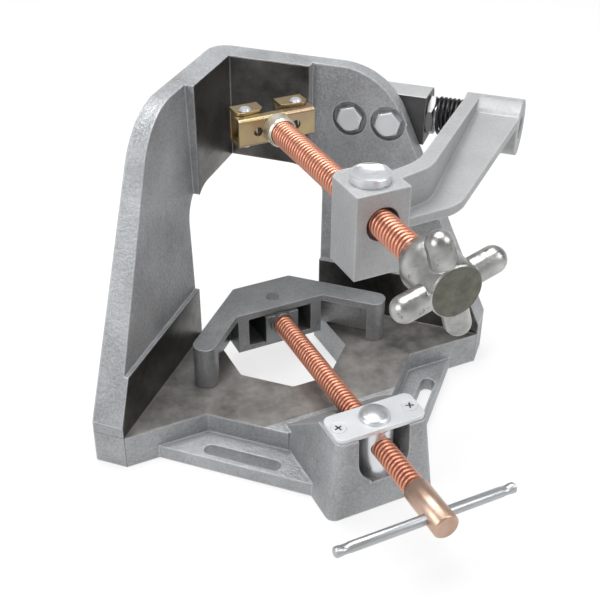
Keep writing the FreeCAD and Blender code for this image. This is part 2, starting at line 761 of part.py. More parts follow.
def lower_spindle():
    """Nose in the block, long thread, and a plain head that is cross-drilled for the handle."""
    body = new_body("lower_spindle")
    profile = side_sketch(body, "Profile", d.lower_axis)
    nose = d.block_front - 7
    neck = d.head_start + 2
    outline(profile, [
        (-nose, 0), (-nose, d.lower_nose_radius), (-d.block_front - 0.2, d.lower_nose_radius),
        (-d.block_front - 0.2, d.lower_thread_radius), (-d.head_start, d.lower_thread_radius),
        (-neck, d.head_radius), (-d.head_end + 1, d.head_radius), (-d.head_end, d.head_radius - 1),
        (-d.head_end, 0)])
    turned(body, profile, "H_Axis")
    cross = side_sketch(body, "CrossHole", d.lower_axis)
    circle(cross, -d.head_end + d.tee_bar_inset, 0, d.tee_bar_radius + d.running_fit)
    pocket(body, cross, 4 * d.head_radius, both=True)
    return body


def tee_bar():
    """Plain round bar whose ends are pinched so that it can't slide out."""
    body = new_body("tee_bar")
    profile = side_sketch(body, "Bar", d.lower_axis)
    circle(profile, -d.head_end + d.tee_bar_inset, 0, d.tee_bar_radius)
    profile.setExpression("AttachmentOffset.Base.z", (-d.tee_bar_offset).formula)
    pad(body, profile, d.tee_bar_length, both=True)
    return body


def swivel_jaw():
    """Cast V jaw: top plate, back wall, solid leg ends and a pillared bay for the swivel block."""
    body = new_body("swivel_jaw")
    floor = d.base_top + d.jaw_lift
    back = d.jaw_back
    tip, band = d.jaw_reach, d.jaw_band / ROOT2
    spread = d.jaw_back - d.jaw_flat_half
    front = back + d.jaw_band * ROOT2 + 11
    inner_turn = front - spread - 2 * band
    plan = plan_sketch(body, "Plan", floor)
    radius = d.jaw_tip_radius
    right = [(d.jaw_flat_half, -back, 2), (tip, -tip - spread, radius),
             (tip - band, -tip - spread - band, radius), (inner_turn, -front, 4)]
    left = [(-x, y, r) for x, y, r in reversed(right)]
    outline(plan, right + left)
    pad(body, plan, d.jaw_height)
    skin = d.jaw_skin
    bay_floor = plan_sketch(body, "SideBay", floor)
    tip_cut = d.jaw_tip_thick / ROOT2
    line = spread + skin * ROOT2
    pillar = d.jaw_post_half + d.jaw_post_width
    end = tip - tip_cut - skin / ROOT2
    outline(bay_floor, [
        (pillar, -pillar - line), (end, -end - line),
        (end - band - 8, -end - line - band - 8), (pillar, -front - 14)])
    bay = pocket(body, bay_floor, d.jaw_height - skin, reverse=True)
    mirrored(body, [bay], False)
    centre = plan_sketch(body, "CentreBay", floor + skin - 1)
    half = d.jaw_post_half
    outline(centre, [
        (-half, -back - skin - 3), (-half + 3, -back - skin), (half - 3, -back - skin), (half, -back - skin - 3),
        (half, -front - 1), (-half, -front - 1)])
    pocket(body, centre, d.jaw_height - 2 * skin + 1, reverse=True)
    hole = plan_sketch(body, "PinHole", floor - 1)
    circle(hole, 0, -d.pin_back, d.pin_radius + d.running_fit)
    pocket(body, hole, d.jaw_height + 2, reverse=True)
    return body


def block_heights():
    floor = d.base_top + d.jaw_lift + d.jaw_skin - 1 + d.side_gap
    top = d.base_top + d.jaw_lift + d.jaw_height - d.jaw_skin - d.side_gap
    return floor, top


def swivel_block():
    """Block on the spindle's end, with a turned bush at the front and the jaw pin's hole."""
    body = new_body("swivel_block")
    floor, top = block_heights()
    plan = plan_sketch(body, "Plan", floor)
    half = d.block_half
    outline(plan, [
        (-half, -d.block_front), (half, -d.block_front), (half, -d.block_back), (-half, -d.block_back)])
    pad(body, plan, top - floor)
    bush = front_sketch(body, "Bush", d.block_front - 1)
    circle(bush, 0, d.lower_axis, d.bush_radius)
    pad(body, bush, d.bush_length + 1)
    throat = front_sketch(body, "Throat", d.block_front)
    circle(throat, 0, d.lower_axis, d.lower_thread_radius + d.running_fit)
    pocket(body, throat, d.bush_length + 1, reverse=True)
    socket = front_sketch(body, "Socket", d.block_front - 7 - d.side_gap)
    circle(socket, 0, d.lower_axis, d.lower_nose_radius + d.running_fit)
    pocket(body, socket, 8 + d.side_gap, reverse=True)
    hole = plan_sketch(body, "PinHole", floor - 1)
    circle(hole, 0, -d.pin_back, d.pin_radius + d.running_fit)
    pocket(body, hole, top - floor + 2, reverse=True)
    return body


def jaw_pin():
    floor = d.base_top + d.jaw_lift
    pin = primitive("Part::Cylinder", "jaw_pin", Radius=d.pin_radius, Height=d.jaw_height + 0.4)
    pin.Label = "jaw_pin"
    return place(pin, 0, -d.pin_back, floor)


def bracket_bar():
    """Steel bar with rounded outer edges, bolted outside the right wall and drilled for the stud."""
    body = new_body("bracket_bar")
    section = wall_section_sketch(body, "Section", d.bar_start)
    low, high = d.pivot_height - d.bar_tall / 2, d.pivot_height + d.bar_tall / 2
    inner, outer = d.seat_out, d.seat_out + d.bar_thick
    outline(section, [(inner, low), (outer, low, d.bar_radius), (outer, high, d.bar_radius), (inner, high)])
    pad(body, section, d.bar_end - d.bar_start)
    holes = wall_face_sketch(body, "BoltHoles", d.seat_out)
    for along in (d.rear_bolt_along, d.front_bolt_along):
        circle(holes, along, d.pivot_height, d.bolt_radius + d.seat_fit)
    pocket(body, holes, d.bolt_reach)
    stud = wall_section_sketch(body, "StudHole", d.bar_end)
    circle(stud, d.seat_out + d.bar_thick / 2, d.pivot_height, d.stud_radius + d.seat_fit)
    pocket(body, stud, d.stud_grip)
    return body


def hexagon(name, across_flats, height, both_faces=False):
    """A hexagon prism with its corners turned off at the outer face, or at both."""
    prism = primitive("Part::Prism", name, Circumradius=across_flats / math.sqrt(3), Height=height)
    prism.Polygon = 6
    rim, flare = across_flats * 0.47, height * math.sqrt(3)
    cones = [primitive("Part::Cone", f"{name}Bevel", Radius1=rim, Radius2=rim + flare, Height=height)]
    if both_faces:
        cones.append(primitive("Part::Cone", f"{name}Back", Radius1=rim + flare, Radius2=rim, Height=height))
    shaped = prism
    for cone in cones:
        common = doc.addObject("Part::Common", f"{name}Turned")
        common.Base, common.Tool = shaped, cone
        shaped = common
    doc.recompute()
    return shaped


def bracket_bolts():
    """Two hexagon bolts whose heads sit in the counterbores."""
    bolts = []
    for along in (d.rear_bolt_along, d.front_bolt_along):
        head = hexagon("BoltHead", d.bolt_across_flats, d.bolt_head_thick)
        shank = primitive("Part::Cylinder", "BoltShank", Radius=d.bolt_radius,
                          Height=d.seat_out + d.bolt_reach - d.counterbore_floor)
        place(head, *on_wall(along, d.counterbore_floor - d.bolt_head_thick), d.pivot_height, *TO_OUT)
        place(shank, *on_wall(along, d.counterbore_floor - 0.01), d.pivot_height, *TO_OUT)
        bolts.append(fused("BracketBolt", [head, shank]))
    return grouped("bracket_bolts", bolts)


def pivot_line():
    """Out from the right wall's face to the pivot's axis."""
    return d.seat_out + d.bar_thick / 2


def pivot_stud():
    start = d.bar_end - d.stud_grip + 0.2
    end = d.boss_start + d.boss_length - d.stud_recess
    stud = primitive("Part::Cylinder", "pivot_stud", Radius=d.stud_radius, Height=end - start)
    stud.Label = "pivot_stud"
    return place(stud, *on_wall(start, pivot_line()), d.pivot_height, *TO_ALONG)


def stud_nut():
    """Hexagon nut with bevelled corners on both faces."""
    prism = hexagon("NutHexagon", d.nut_across_flats, d.nut_thick, both_faces=True)
    bore = primitive("Part::Cylinder", "NutBore", Radius=d.stud_radius + d.seat_fit, Height=d.nut_thick + 2)
    place(prism, *on_wall(d.bar_end, pivot_line()), d.pivot_height, *TO_ALONG)
    place(bore, *on_wall(d.bar_end - 1, pivot_line()), d.pivot_height, *TO_ALONG)
    nut = doc.addObject("Part::Cut", "stud_nut")
    nut.Label = "stud_nut"
    nut.Base, nut.Tool = prism, bore
    doc.recompute()
    return nut


def pivot_spring():
    """Open coil spring between the nut and the arm's boss, its wire bent in short straight runs."""
    start = d.bar_end + d.nut_thick
    room = d.boss_start.number - start.number
    rise = room - 2 * d.spring_wire.number - 0.4
    radius = d.spring_radius.number
    runs_per_turn = 14
    count = round(rise / d.spring_pitch.number * runs_per_turn)
    nodes = []
    for run in range(count + 1):
        angle = 2 * math.pi * run / runs_per_turn
        nodes.append(Vector(radius * math.cos(angle), radius * math.sin(angle), rise * run / count))
    line = doc.addObject("Part::Polygon", "SpringLine")
    line.Nodes = nodes
    wire = primitive("Part::Circle", "SpringWire", Radius=d.spring_wire)
    wire.Placement = Placement(nodes[0], Rotation(Z_AXIS, nodes[1] - nodes[0]))
    doc.recompute()
    spring = doc.addObject("Part::Sweep", "pivot_spring")
    spring.Label = "pivot_spring"
    spring.Sections = [wire]
    spring.Spine = (line, [f"Edge{run + 1}" for run in range(count)])
    spring.Solid = True
    spring.Transition = "Right corner"
    place(spring, *on_wall(start + d.spring_wire + 0.2, pivot_line()), d.pivot_height, *TO_ALONG)
    doc.recompute()
    return spring


def add_arm_block(body):
    plan = plan_sketch(body, "Block", d.block_floor)
    half, bevel = d.block_half_width, d.block_bevel
    outline(plan, [
        (-half, -d.block_near), (half, -d.block_near), (half, -d.block_far - bevel),
        (half - bevel, -d.block_far), (bevel - half, -d.block_far), (-half, -d.block_far - bevel)])
    pad(body, plan, d.block_top - d.block_floor)


def add_arm_boss(body):
    boss = wall_section_sketch(body, "Boss", d.boss_start)
    circle(boss, pivot_line(), d.pivot_height, d.boss_radius)
    pad(body, boss, d.boss_length)


def in_block(across, behind):
    """Along and out coordinates of a place inside the block, by how far it lies behind the front face."""
    from_corner = d.block_near - behind
    return (across + from_corner) / ROOT2, (across - from_corner) / ROOT2


def add_arm_web(body):
    """Flat web from the boss to the block, curving in at its end."""
    inner, outer = d.boss_start + 0.5, d.boss_start + d.boss_length
    turn, bend = d.arm_turn, d.arm_bend
    web = plan_sketch_on_wall(body, "Web", d.web_floor)
    outline(web, [
        (inner, pivot_line()), (inner, -turn, bend), in_block(7.778175, 18.545635), in_block(4.242641, 2.282251),
        (d.arm_width_end, -turn - 4, bend), (outer, 12), (outer, pivot_line())])
    pad(body, web, d.web_thick)


def add_arm_rib(body):
    """Rib along the web's inner edge, rising from the boss to the top of the block."""
    inner, turn = d.boss_start + 0.5, d.arm_turn
    crest = d.pivot_height + d.boss_radius - 0.5
    rib = plan_sketch_on_wall(body, "Rib", d.web_floor)
    outline(rib, [
        (inner, pivot_line()), (inner, -turn, d.arm_bend),
        in_block(7.778175, 18.545635), in_block(7.071068, 7.939034),
        (inner + d.rib_width, -turn - 4, d.arm_bend - 6), (inner + d.rib_width, pivot_line())])
    pad(body, rib, d.block_top - d.web_floor)
    slope = wall_section_sketch(body, "RibSlope", d.boss_start - 2)
    outline(slope, [
        (pivot_line() + 1, crest), (-turn, d.block_top), (-turn, d.block_top + 2), (pivot_line() + 1, d.block_top + 2)])
    pocket(body, slope, d.boss_length + 6, reverse=True)


def bore_arm(body):
    pin = wall_section_sketch(body, "PivotBore", d.boss_start - 1)
    circle(pin, pivot_line(), d.pivot_height, d.stud_radius + d.running_fit)
    pocket(body, pin, d.boss_length + 2, reverse=True)
    well = plan_sketch(body, "NutWell", d.upper_nut_floor - d.side_gap)
    circle(well, 0, -d.upper_nut_y, d.upper_nut_radius + d.running_fit)
    pocket(body, well, d.block_top - d.upper_nut_floor + 2, reverse=True)
    passage = front_sketch(body, "Passage", d.block_far - 5)
    circle(passage, 0, d.upper_axis, d.passage_radius)
    pocket(body, passage, d.block_near - d.block_far + 10, reverse=True)


def swing_arm():
    body = new_body("swing_arm")
    add_arm_block(body)
    add_arm_boss(body)
    add_arm_web(body)
    add_arm_rib(body)
    bore_arm(body)
    return body


def arm_trunnion():
    """The upper nut: a plain round body with a dished cap, cross-bored for the spindle."""
    body = new_body("arm_trunnion")
    profile = side_sketch(body, "Profile", 0)
    profile.setExpression("AttachmentOffset.Base.x", (d.corner_y - d.upper_nut_y).formula)
    seat = d.block_top + d.side_gap
    top = seat + d.cap_thick
    outline(profile, [
        (0, d.upper_nut_floor), (d.upper_nut_radius, d.upper_nut_floor), (d.upper_nut_radius, seat),
        (d.cap_radius, seat), (d.cap_radius, top), (d.cap_radius - 1.5, top), (0, top - d.cap_dish)])
    turned(body, profile, "V_Axis")
    bore = front_sketch(body, "Bore", d.upper_nut_y)
    circle(bore, 0, d.upper_axis, d.upper_thread_radius + d.running_fit)
    pocket(body, bore, 4 * d.upper_nut_radius, both=True)
    return body


def upper_spindle():
    body = new_body("upper_spindle")
    profile = side_sketch(body, "Profile", d.upper_axis)
    nose = d.socket_start + d.socket_floor + d.side_gap
    outline(profile, [
        (-nose, 0), (-nose, d.upper_thread_radius - 0.8), (-nose - 0.8, d.upper_thread_radius),
        (-d.spindle_in_knob, d.upper_thread_radius), (-d.spindle_in_knob, 0)])
    turned(body, profile, "H_Axis")
    return body


def finger_outline(drawing):
    """Half outline of one lobe about its own axis: a slight taper that ends in a quarter circle."""
    axis, radius, root = d.upper_axis, d.lobe_radius, as_size(8)
    bend = d.lobe_reach - radius
    foot, crest = Vector(root.number, axis.number, 0), Vector(root.number, (axis + radius).number, 0)
    centre = Vector(bend.number, axis.number, 0)
    top, tip = centre + Vector(0, radius.number, 0), centre + Vector(radius.number, 0, 0)
    lines = [drawing.addGeometry(Part.LineSegment(*ends)) for ends in ((tip, foot), (foot, crest), (crest, top))]
    arc = drawing.addGeometry(arc_between(centre, tip, top))
    for before, after in ((lines[0], lines[1]), (lines[1], lines[2])):
        drawing.addConstraint(Sketcher.Constraint("Coincident", before, 2, after, 1))
    drawing.addConstraint(Sketcher.Constraint("Tangent", lines[2], 2, arc, 2))
    drawing.addConstraint(Sketcher.Constraint("Coincident", arc, 1, lines[0], 1))
    drawing.addConstraint(Sketcher.Constraint("Horizontal", lines[0]))
    fix_point(drawing, arc, 3, bend, axis, "bend")
    fix_radius(drawing, arc, radius, "bend")
    fix_point(drawing, lines[1], 1, root, axis, "foot")
    fix_point(drawing, lines[2], 1, root, axis + radius, "crest")
    lobe_axis = drawing.GeometryCount
    drawing.addGeometry(Part.LineSegment(Vector(0, axis.number, 0), Vector(40, axis.number, 0)), True)
    fix_point(drawing, lobe_axis, 1, 0, axis, "axis_foot")
    fix_point(drawing, lobe_axis, 2, 40, axis, "axis_head")
    return drawing


def star_knob():
    """Cast knob: a cone that flares from the spindle, a hub with a flat face and four round-ended lobes."""
    body = new_body("star_knob")
    hub = side_sketch(body, "Hub", d.upper_axis)
    start, face = d.knob_start, d.knob_face
    throat, wide = d.knob_throat_radius, d.knob_hub_radius
    outline(hub, [
        (-start, d.upper_thread_radius - 1), (-start, throat), (-start - 10, wide + 0.6, 9),
        (-face + 1, wide), (-face, wide - 1), (-face, 0), (-face + 6, 0), (-face + 6, d.upper_thread_radius - 1)])
    turned(body, hub, "H_Axis")
    lobe = front_sketch(body, "Lobe", d.knob_face - d.lobe_radius - 0.6)
    finger = turned(body, finger_outline(lobe), "Axis0")
    pattern = body.newObject("PartDesign::PolarPattern", "Lobes")
    centre_line = side_sketch(body, "KnobLine", d.upper_axis)
    pattern.Originals = [finger]
    pattern.Axis = (centre_line, ["H_Axis"])
    pattern.Angle = 360
    pattern.Occurrences = 4
    finish_feature(body, pattern, True)
    bore = front_sketch(body, "Bore", d.knob_start - 1)
    circle(bore, 0, d.upper_axis, d.upper_thread_radius + d.seat_fit)
    pocket(body, bore, d.spindle_in_knob - d.knob_start + 1 + 0.2, reverse=True)
    turn = Rotation(Y_AXIS, -d.lobe_angle.number)
    pivot = Vector(0, 0, d.upper_axis.number)
    body.Placement = Placement(Vector(), turn, pivot)
    return body


def pad_socket():
    """Round cup that holds the spindle's end."""
    body = new_body("pad_socket")
    profile = side_sketch(body, "Profile", d.upper_axis)
    start, end = d.socket_start, d.socket_start + d.socket_length
    bore = d.upper_thread_radius + 0.25
    floor = start + d.socket_floor
    outline(profile, [
        (-start, 0), (-start, d.socket_radius), (-end + 1.4, d.socket_radius - 0.3), (-end, d.socket_radius - 1.3),
        (-end, bore), (-floor, bore), (-floor, 0)])
    turned(body, profile, "H_Axis")
    return body


def pad_yoke():
    """Folded channel: front web, two flanges with round lugs at the rivets, and two holes in the web."""
    body = new_body("pad_yoke")
    tall, half, sheet_thick = d.yoke_half_tall, d.yoke_half, d.yoke_sheet
    low, high = d.upper_axis - tall, d.upper_axis + tall
    plan = plan_sketch(body, "Plan", low)
    front = d.socket_start
    row = front - d.rivet_behind
    lug, waist = d.lug_radius, -row - d.lug_radius + 1
    round_lug = lug - 0.1
    right = [
        (half, -front), (half, -row - 2.5), (d.rivet_out + lug, -row), (d.rivet_out + lug, lug - row, round_lug),
        (d.rivet_out - lug, lug - row, round_lug), (d.rivet_out - lug, waist, 2)]
    left = [(-corner[0], *corner[1:]) for corner in reversed(right)]
    outline(plan, right + left)
    pad(body, plan, 2 * tall)
    hollow = sketch_on(body, "Hollow", "XZ_Plane", (0, 0, front - sheet_thick - d.corner_y))
    outline(hollow, [
        (-half - 1, low + sheet_thick), (half + 1, low + sheet_thick), (half + 1, high - sheet_thick),
        (-half - 1, high - sheet_thick)])
    pocket(body, hollow, 40)
    face = d.corner_y - front

    def front_bend(point):
        return near(point.y, face) and (near(point.z, low) or near(point.z, high))
    fillet(body, sheet_thick, front_bend)
    holes = front_sketch(body, "FrontHoles", front)
    for side in (-1, 1):
        circle(holes, side * d.yoke_hole_out, d.upper_axis, d.yoke_hole_radius)
    pocket(body, holes, sheet_thick + 1)
    rivets = plan_sketch(body, "RivetHoles", low - 1)
    for side in (-1, 1):
        circle(rivets, side * d.rivet_out, -row, d.rivet_radius + d.seat_fit)
    pocket(body, rivets, 2 * tall + 2, reverse=True)
    return body


def shoe(label, side):
    """Folded shoe: an ear above and below the channel and a flat pad behind it."""
    body = new_body(label)
    tall = d.yoke_half_tall + d.side_gap + d.shoe_sheet
    low = d.upper_axis - tall
    row = d.socket_start - d.rivet_behind
    back = -row + d.shoe_behind + d.shoe_sheet
    nose = -row - d.shoe_nose
    outer, inner = side * (d.rivet_out + d.shoe_outer), side * (d.rivet_out - d.shoe_inner)
    plan = plan_sketch(body, "Plan", low)
    outline(plan, [(outer, back), (outer, nose, 4.5), (inner, nose + 2, 4), (inner, back)])
    pad(body, plan, 2 * tall)
    hollow = sketch_on(body, "Hollow", "XZ_Plane", (0, 0, row - d.shoe_behind - d.corner_y))
    gap = d.yoke_half_tall + d.side_gap
    far = side * (d.rivet_out + d.shoe_outer + 2)
    close = side * (d.rivet_out - d.shoe_inner - 2)
    outline(hollow, [
        (far, d.upper_axis - gap), (close, d.upper_axis - gap), (close, d.upper_axis + gap),
        (far, d.upper_axis + gap)])
    pocket(body, hollow, 40, reverse=True)
    hole = plan_sketch(body, "RivetHole", low - 1)
    circle(hole, side * d.rivet_out, -row, d.rivet_radius + d.running_fit)
    pocket(body, hole, 2 * tall + 2, reverse=True)
    return body


def shoe_rivets():
    """Two long rivets with a flat-topped head at each end."""
    rivets = []
    reach = d.yoke_half_tall + d.side_gap + d.shoe_sheet + 0.2
    row = d.socket_start - d.rivet_behind
    for side in (-1, 1):
        shank = primitive("Part::Cylinder", "RivetShank", Radius=d.rivet_radius, Height=2 * reach)
        over = primitive("Part::Cone", "RivetHead", Radius1=d.rivet_head_radius, Radius2=d.rivet_head_radius - 1.2,
                         Height=d.rivet_head_rise)
        under = primitive("Part::Cone", "RivetTail", Radius1=d.rivet_head_radius - 1.2, Radius2=d.rivet_head_radius,
                          Height=d.rivet_head_rise)
        place(shank, side * d.rivet_out, -row, d.upper_axis - reach)
        place(over, side * d.rivet_out, -row, d.upper_axis + reach)
        place(under, side * d.rivet_out, -row, d.upper_axis - reach - d.rivet_head_rise)
        rivets.append(fused("ShoeRivet", [shank, over, under]))
    return grouped("shoe_rivets", rivets)


NODES = [
    body_casting(), lower_trunnion(), retaining_plate(), plate_screws(), lower_spindle(), tee_bar(),
    swivel_block(), swivel_jaw(), jaw_pin(), bracket_bar(), bracket_bolts(), pivot_stud(), stud_nut(),
    pivot_spring(), swing_arm(), arm_trunnion(), upper_spindle(), star_knob(), pad_socket(), pad_yoke(),
    shoe("left_shoe", -1), shoe("right_shoe", 1), shoe_rivets(),
]

doc.recompute()
for item in doc.Objects:
    if "Invalid" in item.State or "Error" in item.State:
        raise RuntimeError(f"{item.Label} is not valid: {item.State}")
for node in NODES:
    if node.Shape.isNull() or not node.Shape.isValid():
        raise RuntimeError(f"{node.Label} has no valid shape")
    node.Shape.exportStep(f"parts/{node.Label}.step")
    print(f"{node.Label:18s} {node.Shape.Volume / 1000:9.2f} cm3, solids {len(node.Shape.Solids)}")
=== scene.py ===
import math

import bmesh
import bpy
from mathutils import Matrix, Vector


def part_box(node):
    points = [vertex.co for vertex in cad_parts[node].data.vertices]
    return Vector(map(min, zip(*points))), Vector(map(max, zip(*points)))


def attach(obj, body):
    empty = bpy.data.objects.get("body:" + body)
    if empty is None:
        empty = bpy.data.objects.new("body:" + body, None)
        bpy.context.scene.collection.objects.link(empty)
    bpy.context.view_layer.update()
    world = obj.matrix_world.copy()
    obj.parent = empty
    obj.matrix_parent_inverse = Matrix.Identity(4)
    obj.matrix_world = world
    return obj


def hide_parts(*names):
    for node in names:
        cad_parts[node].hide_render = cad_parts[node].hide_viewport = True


bl_info = {
    "name": "Corner Clamp",
    "version": (1, 0, 0),
    "blender": (4, 5, 0),
    "location": "3D View > Sidebar > Clamp",
    "description": "Threads, handle, screws and finishes of a cast corner clamp",
    "category": "Object",
}

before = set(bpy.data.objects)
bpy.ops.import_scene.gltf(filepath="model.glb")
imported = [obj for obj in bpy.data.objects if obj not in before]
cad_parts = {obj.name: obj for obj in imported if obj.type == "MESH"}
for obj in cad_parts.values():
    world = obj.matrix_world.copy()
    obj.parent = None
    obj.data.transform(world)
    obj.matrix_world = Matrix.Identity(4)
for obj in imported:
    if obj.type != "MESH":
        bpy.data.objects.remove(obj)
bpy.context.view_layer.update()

# Directions: two axes, along the right wall, and square out of it
Y_AXIS = Vector((0, 1, 0))
Z_AXIS = Vector((0, 0, 1))
ALONG = Vector((1, -1, 0)).normalized()
OUT = Vector((1, 1, 0)).normalized()

# Machined faces of the castings, by their place in the frame
CORNER_Y = 0.216
BED_HEIGHT = 0.0242
BED_FRONT = 0.0554
KNOB_FACE_Y = -0.069

# Lower spindle: its radius, its plain head, its nose in the block, and how far the thread laps
LOWER_RADIUS = 0.007
PLAIN_HEAD = 0.0345
NOSE_OVERLAP = 0.0025
HEAD_LAP = 0.001
NOSE_LAP = 0.0002

# Thread profile: shares of the depth below the crest, and of the pitch
THREAD_PROFILE = ((1.0, 0.0), (0.94, 0.07), (0.58, 0.17), (0.20, 0.27), (0.03, 0.38), (0.0, 0.52),
                  (0.03, 0.66), (0.20, 0.77), (0.58, 0.86), (0.94, 0.95), (1.0, 1.0))

# Cross handle: end chamfer, where the pinched flats have rings of points, and their end
HANDLE_CHAMFER = 0.0008
FLAT_STATIONS = (-1.0, -0.6, -0.2, 0.2, 0.6, 1.0)
FLAT_END = 0.99

# Plate screws: rounded rim, taper of the cross, and turn of each screw
SCREW_RIM = 0.0005
SCREW_EDGE = 0.0001
CROSS_TAPER = 0.78
SCREW_TURNS = (0.3, 1.2)

# Stud nut: half its width, its bore and the slope of its chamfer; then the gap to the spring
NUT_FLATS = 0.012
NUT_BORE = 0.00805
NUT_CHAMFER = 0.55
SPRING_GAP = 0.0003

# Heads of the swivel nuts: straight band, rounded lip, dish, and lap into the shank
DOME_BAND = 0.0013
CAP_ROUND = 0.0004
CAP_LIP = 0.0009
CAP_DISH = 0.0024
SHANK_LAP = 0.0001

# Steps round turned pieces, round the spring and round its wire
SIDES = 48
HANDLE_SIDES = 32
HEAD_SIDES = 64
COIL_STEPS = 28
WIRE_SIDES = 14

# Tones that only one finish uses
# Root tone of the copper thread: painted shade in its grooves
COPPER_ROOT_SHADE = (0.22, 0.06, 0.03)
RUBBED_DARK, RUBBED_PALE = (0.54, 0.36, 0.27), (0.64, 0.47, 0.38)
HUB_DARK, HUB_PALE = (0.125, 0.122, 0.10), (0.20, 0.197, 0.165)
GOLD_BROWN = (0.38, 0.27, 0.19)

# Bands that noise and edges are spread from
NOISE_BAND = (0.3, 0.7)
EDGE_BAND = (0.02, 0.25)

# How close to a machined face a point counts as on it, and how deep a top face counts
FACE_TOLERANCE = 0.0003
WALL_TOLERANCE = 0.0004
MILLED_DEPTH = 0.0004
SUNK_DEPTH = 0.00022

# Socket numbers of a mix node: first, second and result
MIX_SOCKETS = {"FLOAT": (2, 3, 0), "VECTOR": (4, 5, 1), "RGBA": (6, 7, 2)}

# Lamps by name, place, size and power, and what they point at
LAMPS = (("key_lamp", (0.75, -0.65, 1.1), 0.7, 7.0),
         ("side_lamp", (-1.1, -0.1, 0.75), 0.6, 6.0),
         ("top_lamp", (0.0, 0.35, 1.5), 0.9, 22.0))
LAMP_AIM = Vector((0.0, 0.1, 0.09))

# World: light on the clamp, and how the mirrored sky fades with height
WORLD_LIGHT = 0.42
SKY_FADE_HEIGHT = 0.75
SKY_FADE_LEVEL = 0.30

# Floor and camera
FLOOR_TONE = (0.86, 0.86, 0.86, 1.0)
FLOOR_WHITE = 0.72
FLOOR_PLACE = (0, 0.1, -0.0002)
SENSOR_WIDTH = 36.0
CAMERA_SHIFT = (0.0083, -0.0028)


def colour_property(name, description, default):
    """A colour that the panel shows."""
    return bpy.props.FloatVectorProperty(
        name=name, description=description, default=default,
        subtype="COLOR", size=3, min=0.0, max=1.0)


def length_property(name, description, default):
    """A length that the panel shows."""
    return bpy.props.FloatProperty(
        name=name, description=description, default=default, unit="LENGTH", precision=5)


def angle_property(name, description, degrees):
    """An angle that the panel shows, given in degrees."""
    return bpy.props.FloatProperty(
        name=name, description=description, default=math.radians(degrees), subtype="ANGLE")


class ThreadSizes(bpy.types.PropertyGroup):
    """The right-hand threads of both spindles."""

    pitch: length_property("Pitch", "Travel for one turn", 0.003)
    depth: length_property("Depth", "From crest to root", 0.00105)
    steps: bpy.props.IntProperty(
        name="Steps", description="Faces around one turn", default=36, min=12)


class FittingSizes(bpy.types.PropertyGroup):
    """Small fittings that the frame keeps plain."""

    pinch_length: length_property(
        "Pinch length", "Flattened stretch near each end of the cross handle", 0.006)
    pinch_inset: length_property(
        "Pinch inset", "From the handle's end to the middle of the flat", 0.0065)
    pinch_share: bpy.props.FloatProperty(
        name="Pinch", description="Thickness that is left at the flat",
        default=0.74, min=0.3, max=1.0)
    cross_reach: length_property("Cross reach", "Half length of the cross recess", 0.0027)
    cross_half: length_property(
        "Cross half width", "Half width of an arm of the cross recess", 0.00055)
    cross_depth: length_property("Cross depth", "Depth of the cross recess", 0.0012)
    wire_radius: length_property("Spring wire", "Radius of the spring wire", 0.00125)
    spring_pitch: length_property("Spring pitch", "Distance between the coils", 0.0029)
    spring_radius: length_property("Spring radius", "Outer radius of the spring", 0.013)
    nut_thick: length_property("Nut", "Thickness of the stud's nut", 0.0048)
    cap_radius: length_property("Cap", "Radius of the upper nut's cap", 0.0114)
    cap_thick: length_property("Cap thickness", "Height of the upper nut's cap", 0.0046)
    dome_radius: length_property("Dome", "Radius of the lower nut's domed head", 0.0095)


class FinishColours(bpy.types.PropertyGroup):
    """Base colours of the finishes."""

    casting: colour_property("Casting", "Sand-cast skin of the body", (0.335, 0.345, 0.355))
    machined: colour_property(
        "Machined walls", "Ground wall pads of the body", (0.115, 0.112, 0.108))
    bed: colour_property("Machined bed", "Ground base of the body", (0.19, 0.182, 0.172))
    jaw: colour_property("Jaw", "Cast skin of the lower jaw", (0.25, 0.255, 0.26))
    arm: colour_property("Arm", "Cast skin of the swing arm", (0.36, 0.365, 0.37))
    copper: colour_property("Copper", "Copper plate on the spindles", (0.74, 0.34, 0.235))
    zinc: colour_property("Zinc", "Bright zinc plate", (0.74, 0.76, 0.78))
    gold: colour_property("Yellow zinc", "Yellow-passivated zinc", (0.47, 0.385, 0.20))
    collar: colour_property(
        "Collar", "Pale yellow zinc of the spindle's collar", (0.66, 0.62, 0.52))
    dark: colour_property("Dark steel", "Oiled steel of the bracket", (0.07, 0.07, 0.072))
    bright: colour_property("Bright metal", "Tumbled cast knob", (0.43, 0.43, 0.42))
    milled: colour_property("Milled steel", "Milled top of the bracket bar", (0.54, 0.545, 0.55))


class StageSettings(bpy.types.PropertyGroup):
    """Camera and floor."""

    place: bpy.props.FloatVectorProperty(
        name="Camera", description="Place of the camera", default=(-0.2437, -0.4011, 0.4563),
        subtype="TRANSLATION", size=3)
    azimuth: angle_property("Azimuth", "Turn of the view about the vertical", -25.44)
    elevation: angle_property("Elevation", "How far the view looks down", 33.82)
    roll: angle_property("Roll", "Turn of the picture", 0.16)
    lens: bpy.props.FloatProperty(
        name="Lens", description="Focal length in millimetres", default=61.07)
    floor_half: length_property("Floor", "Half width of the floor", 3.0)


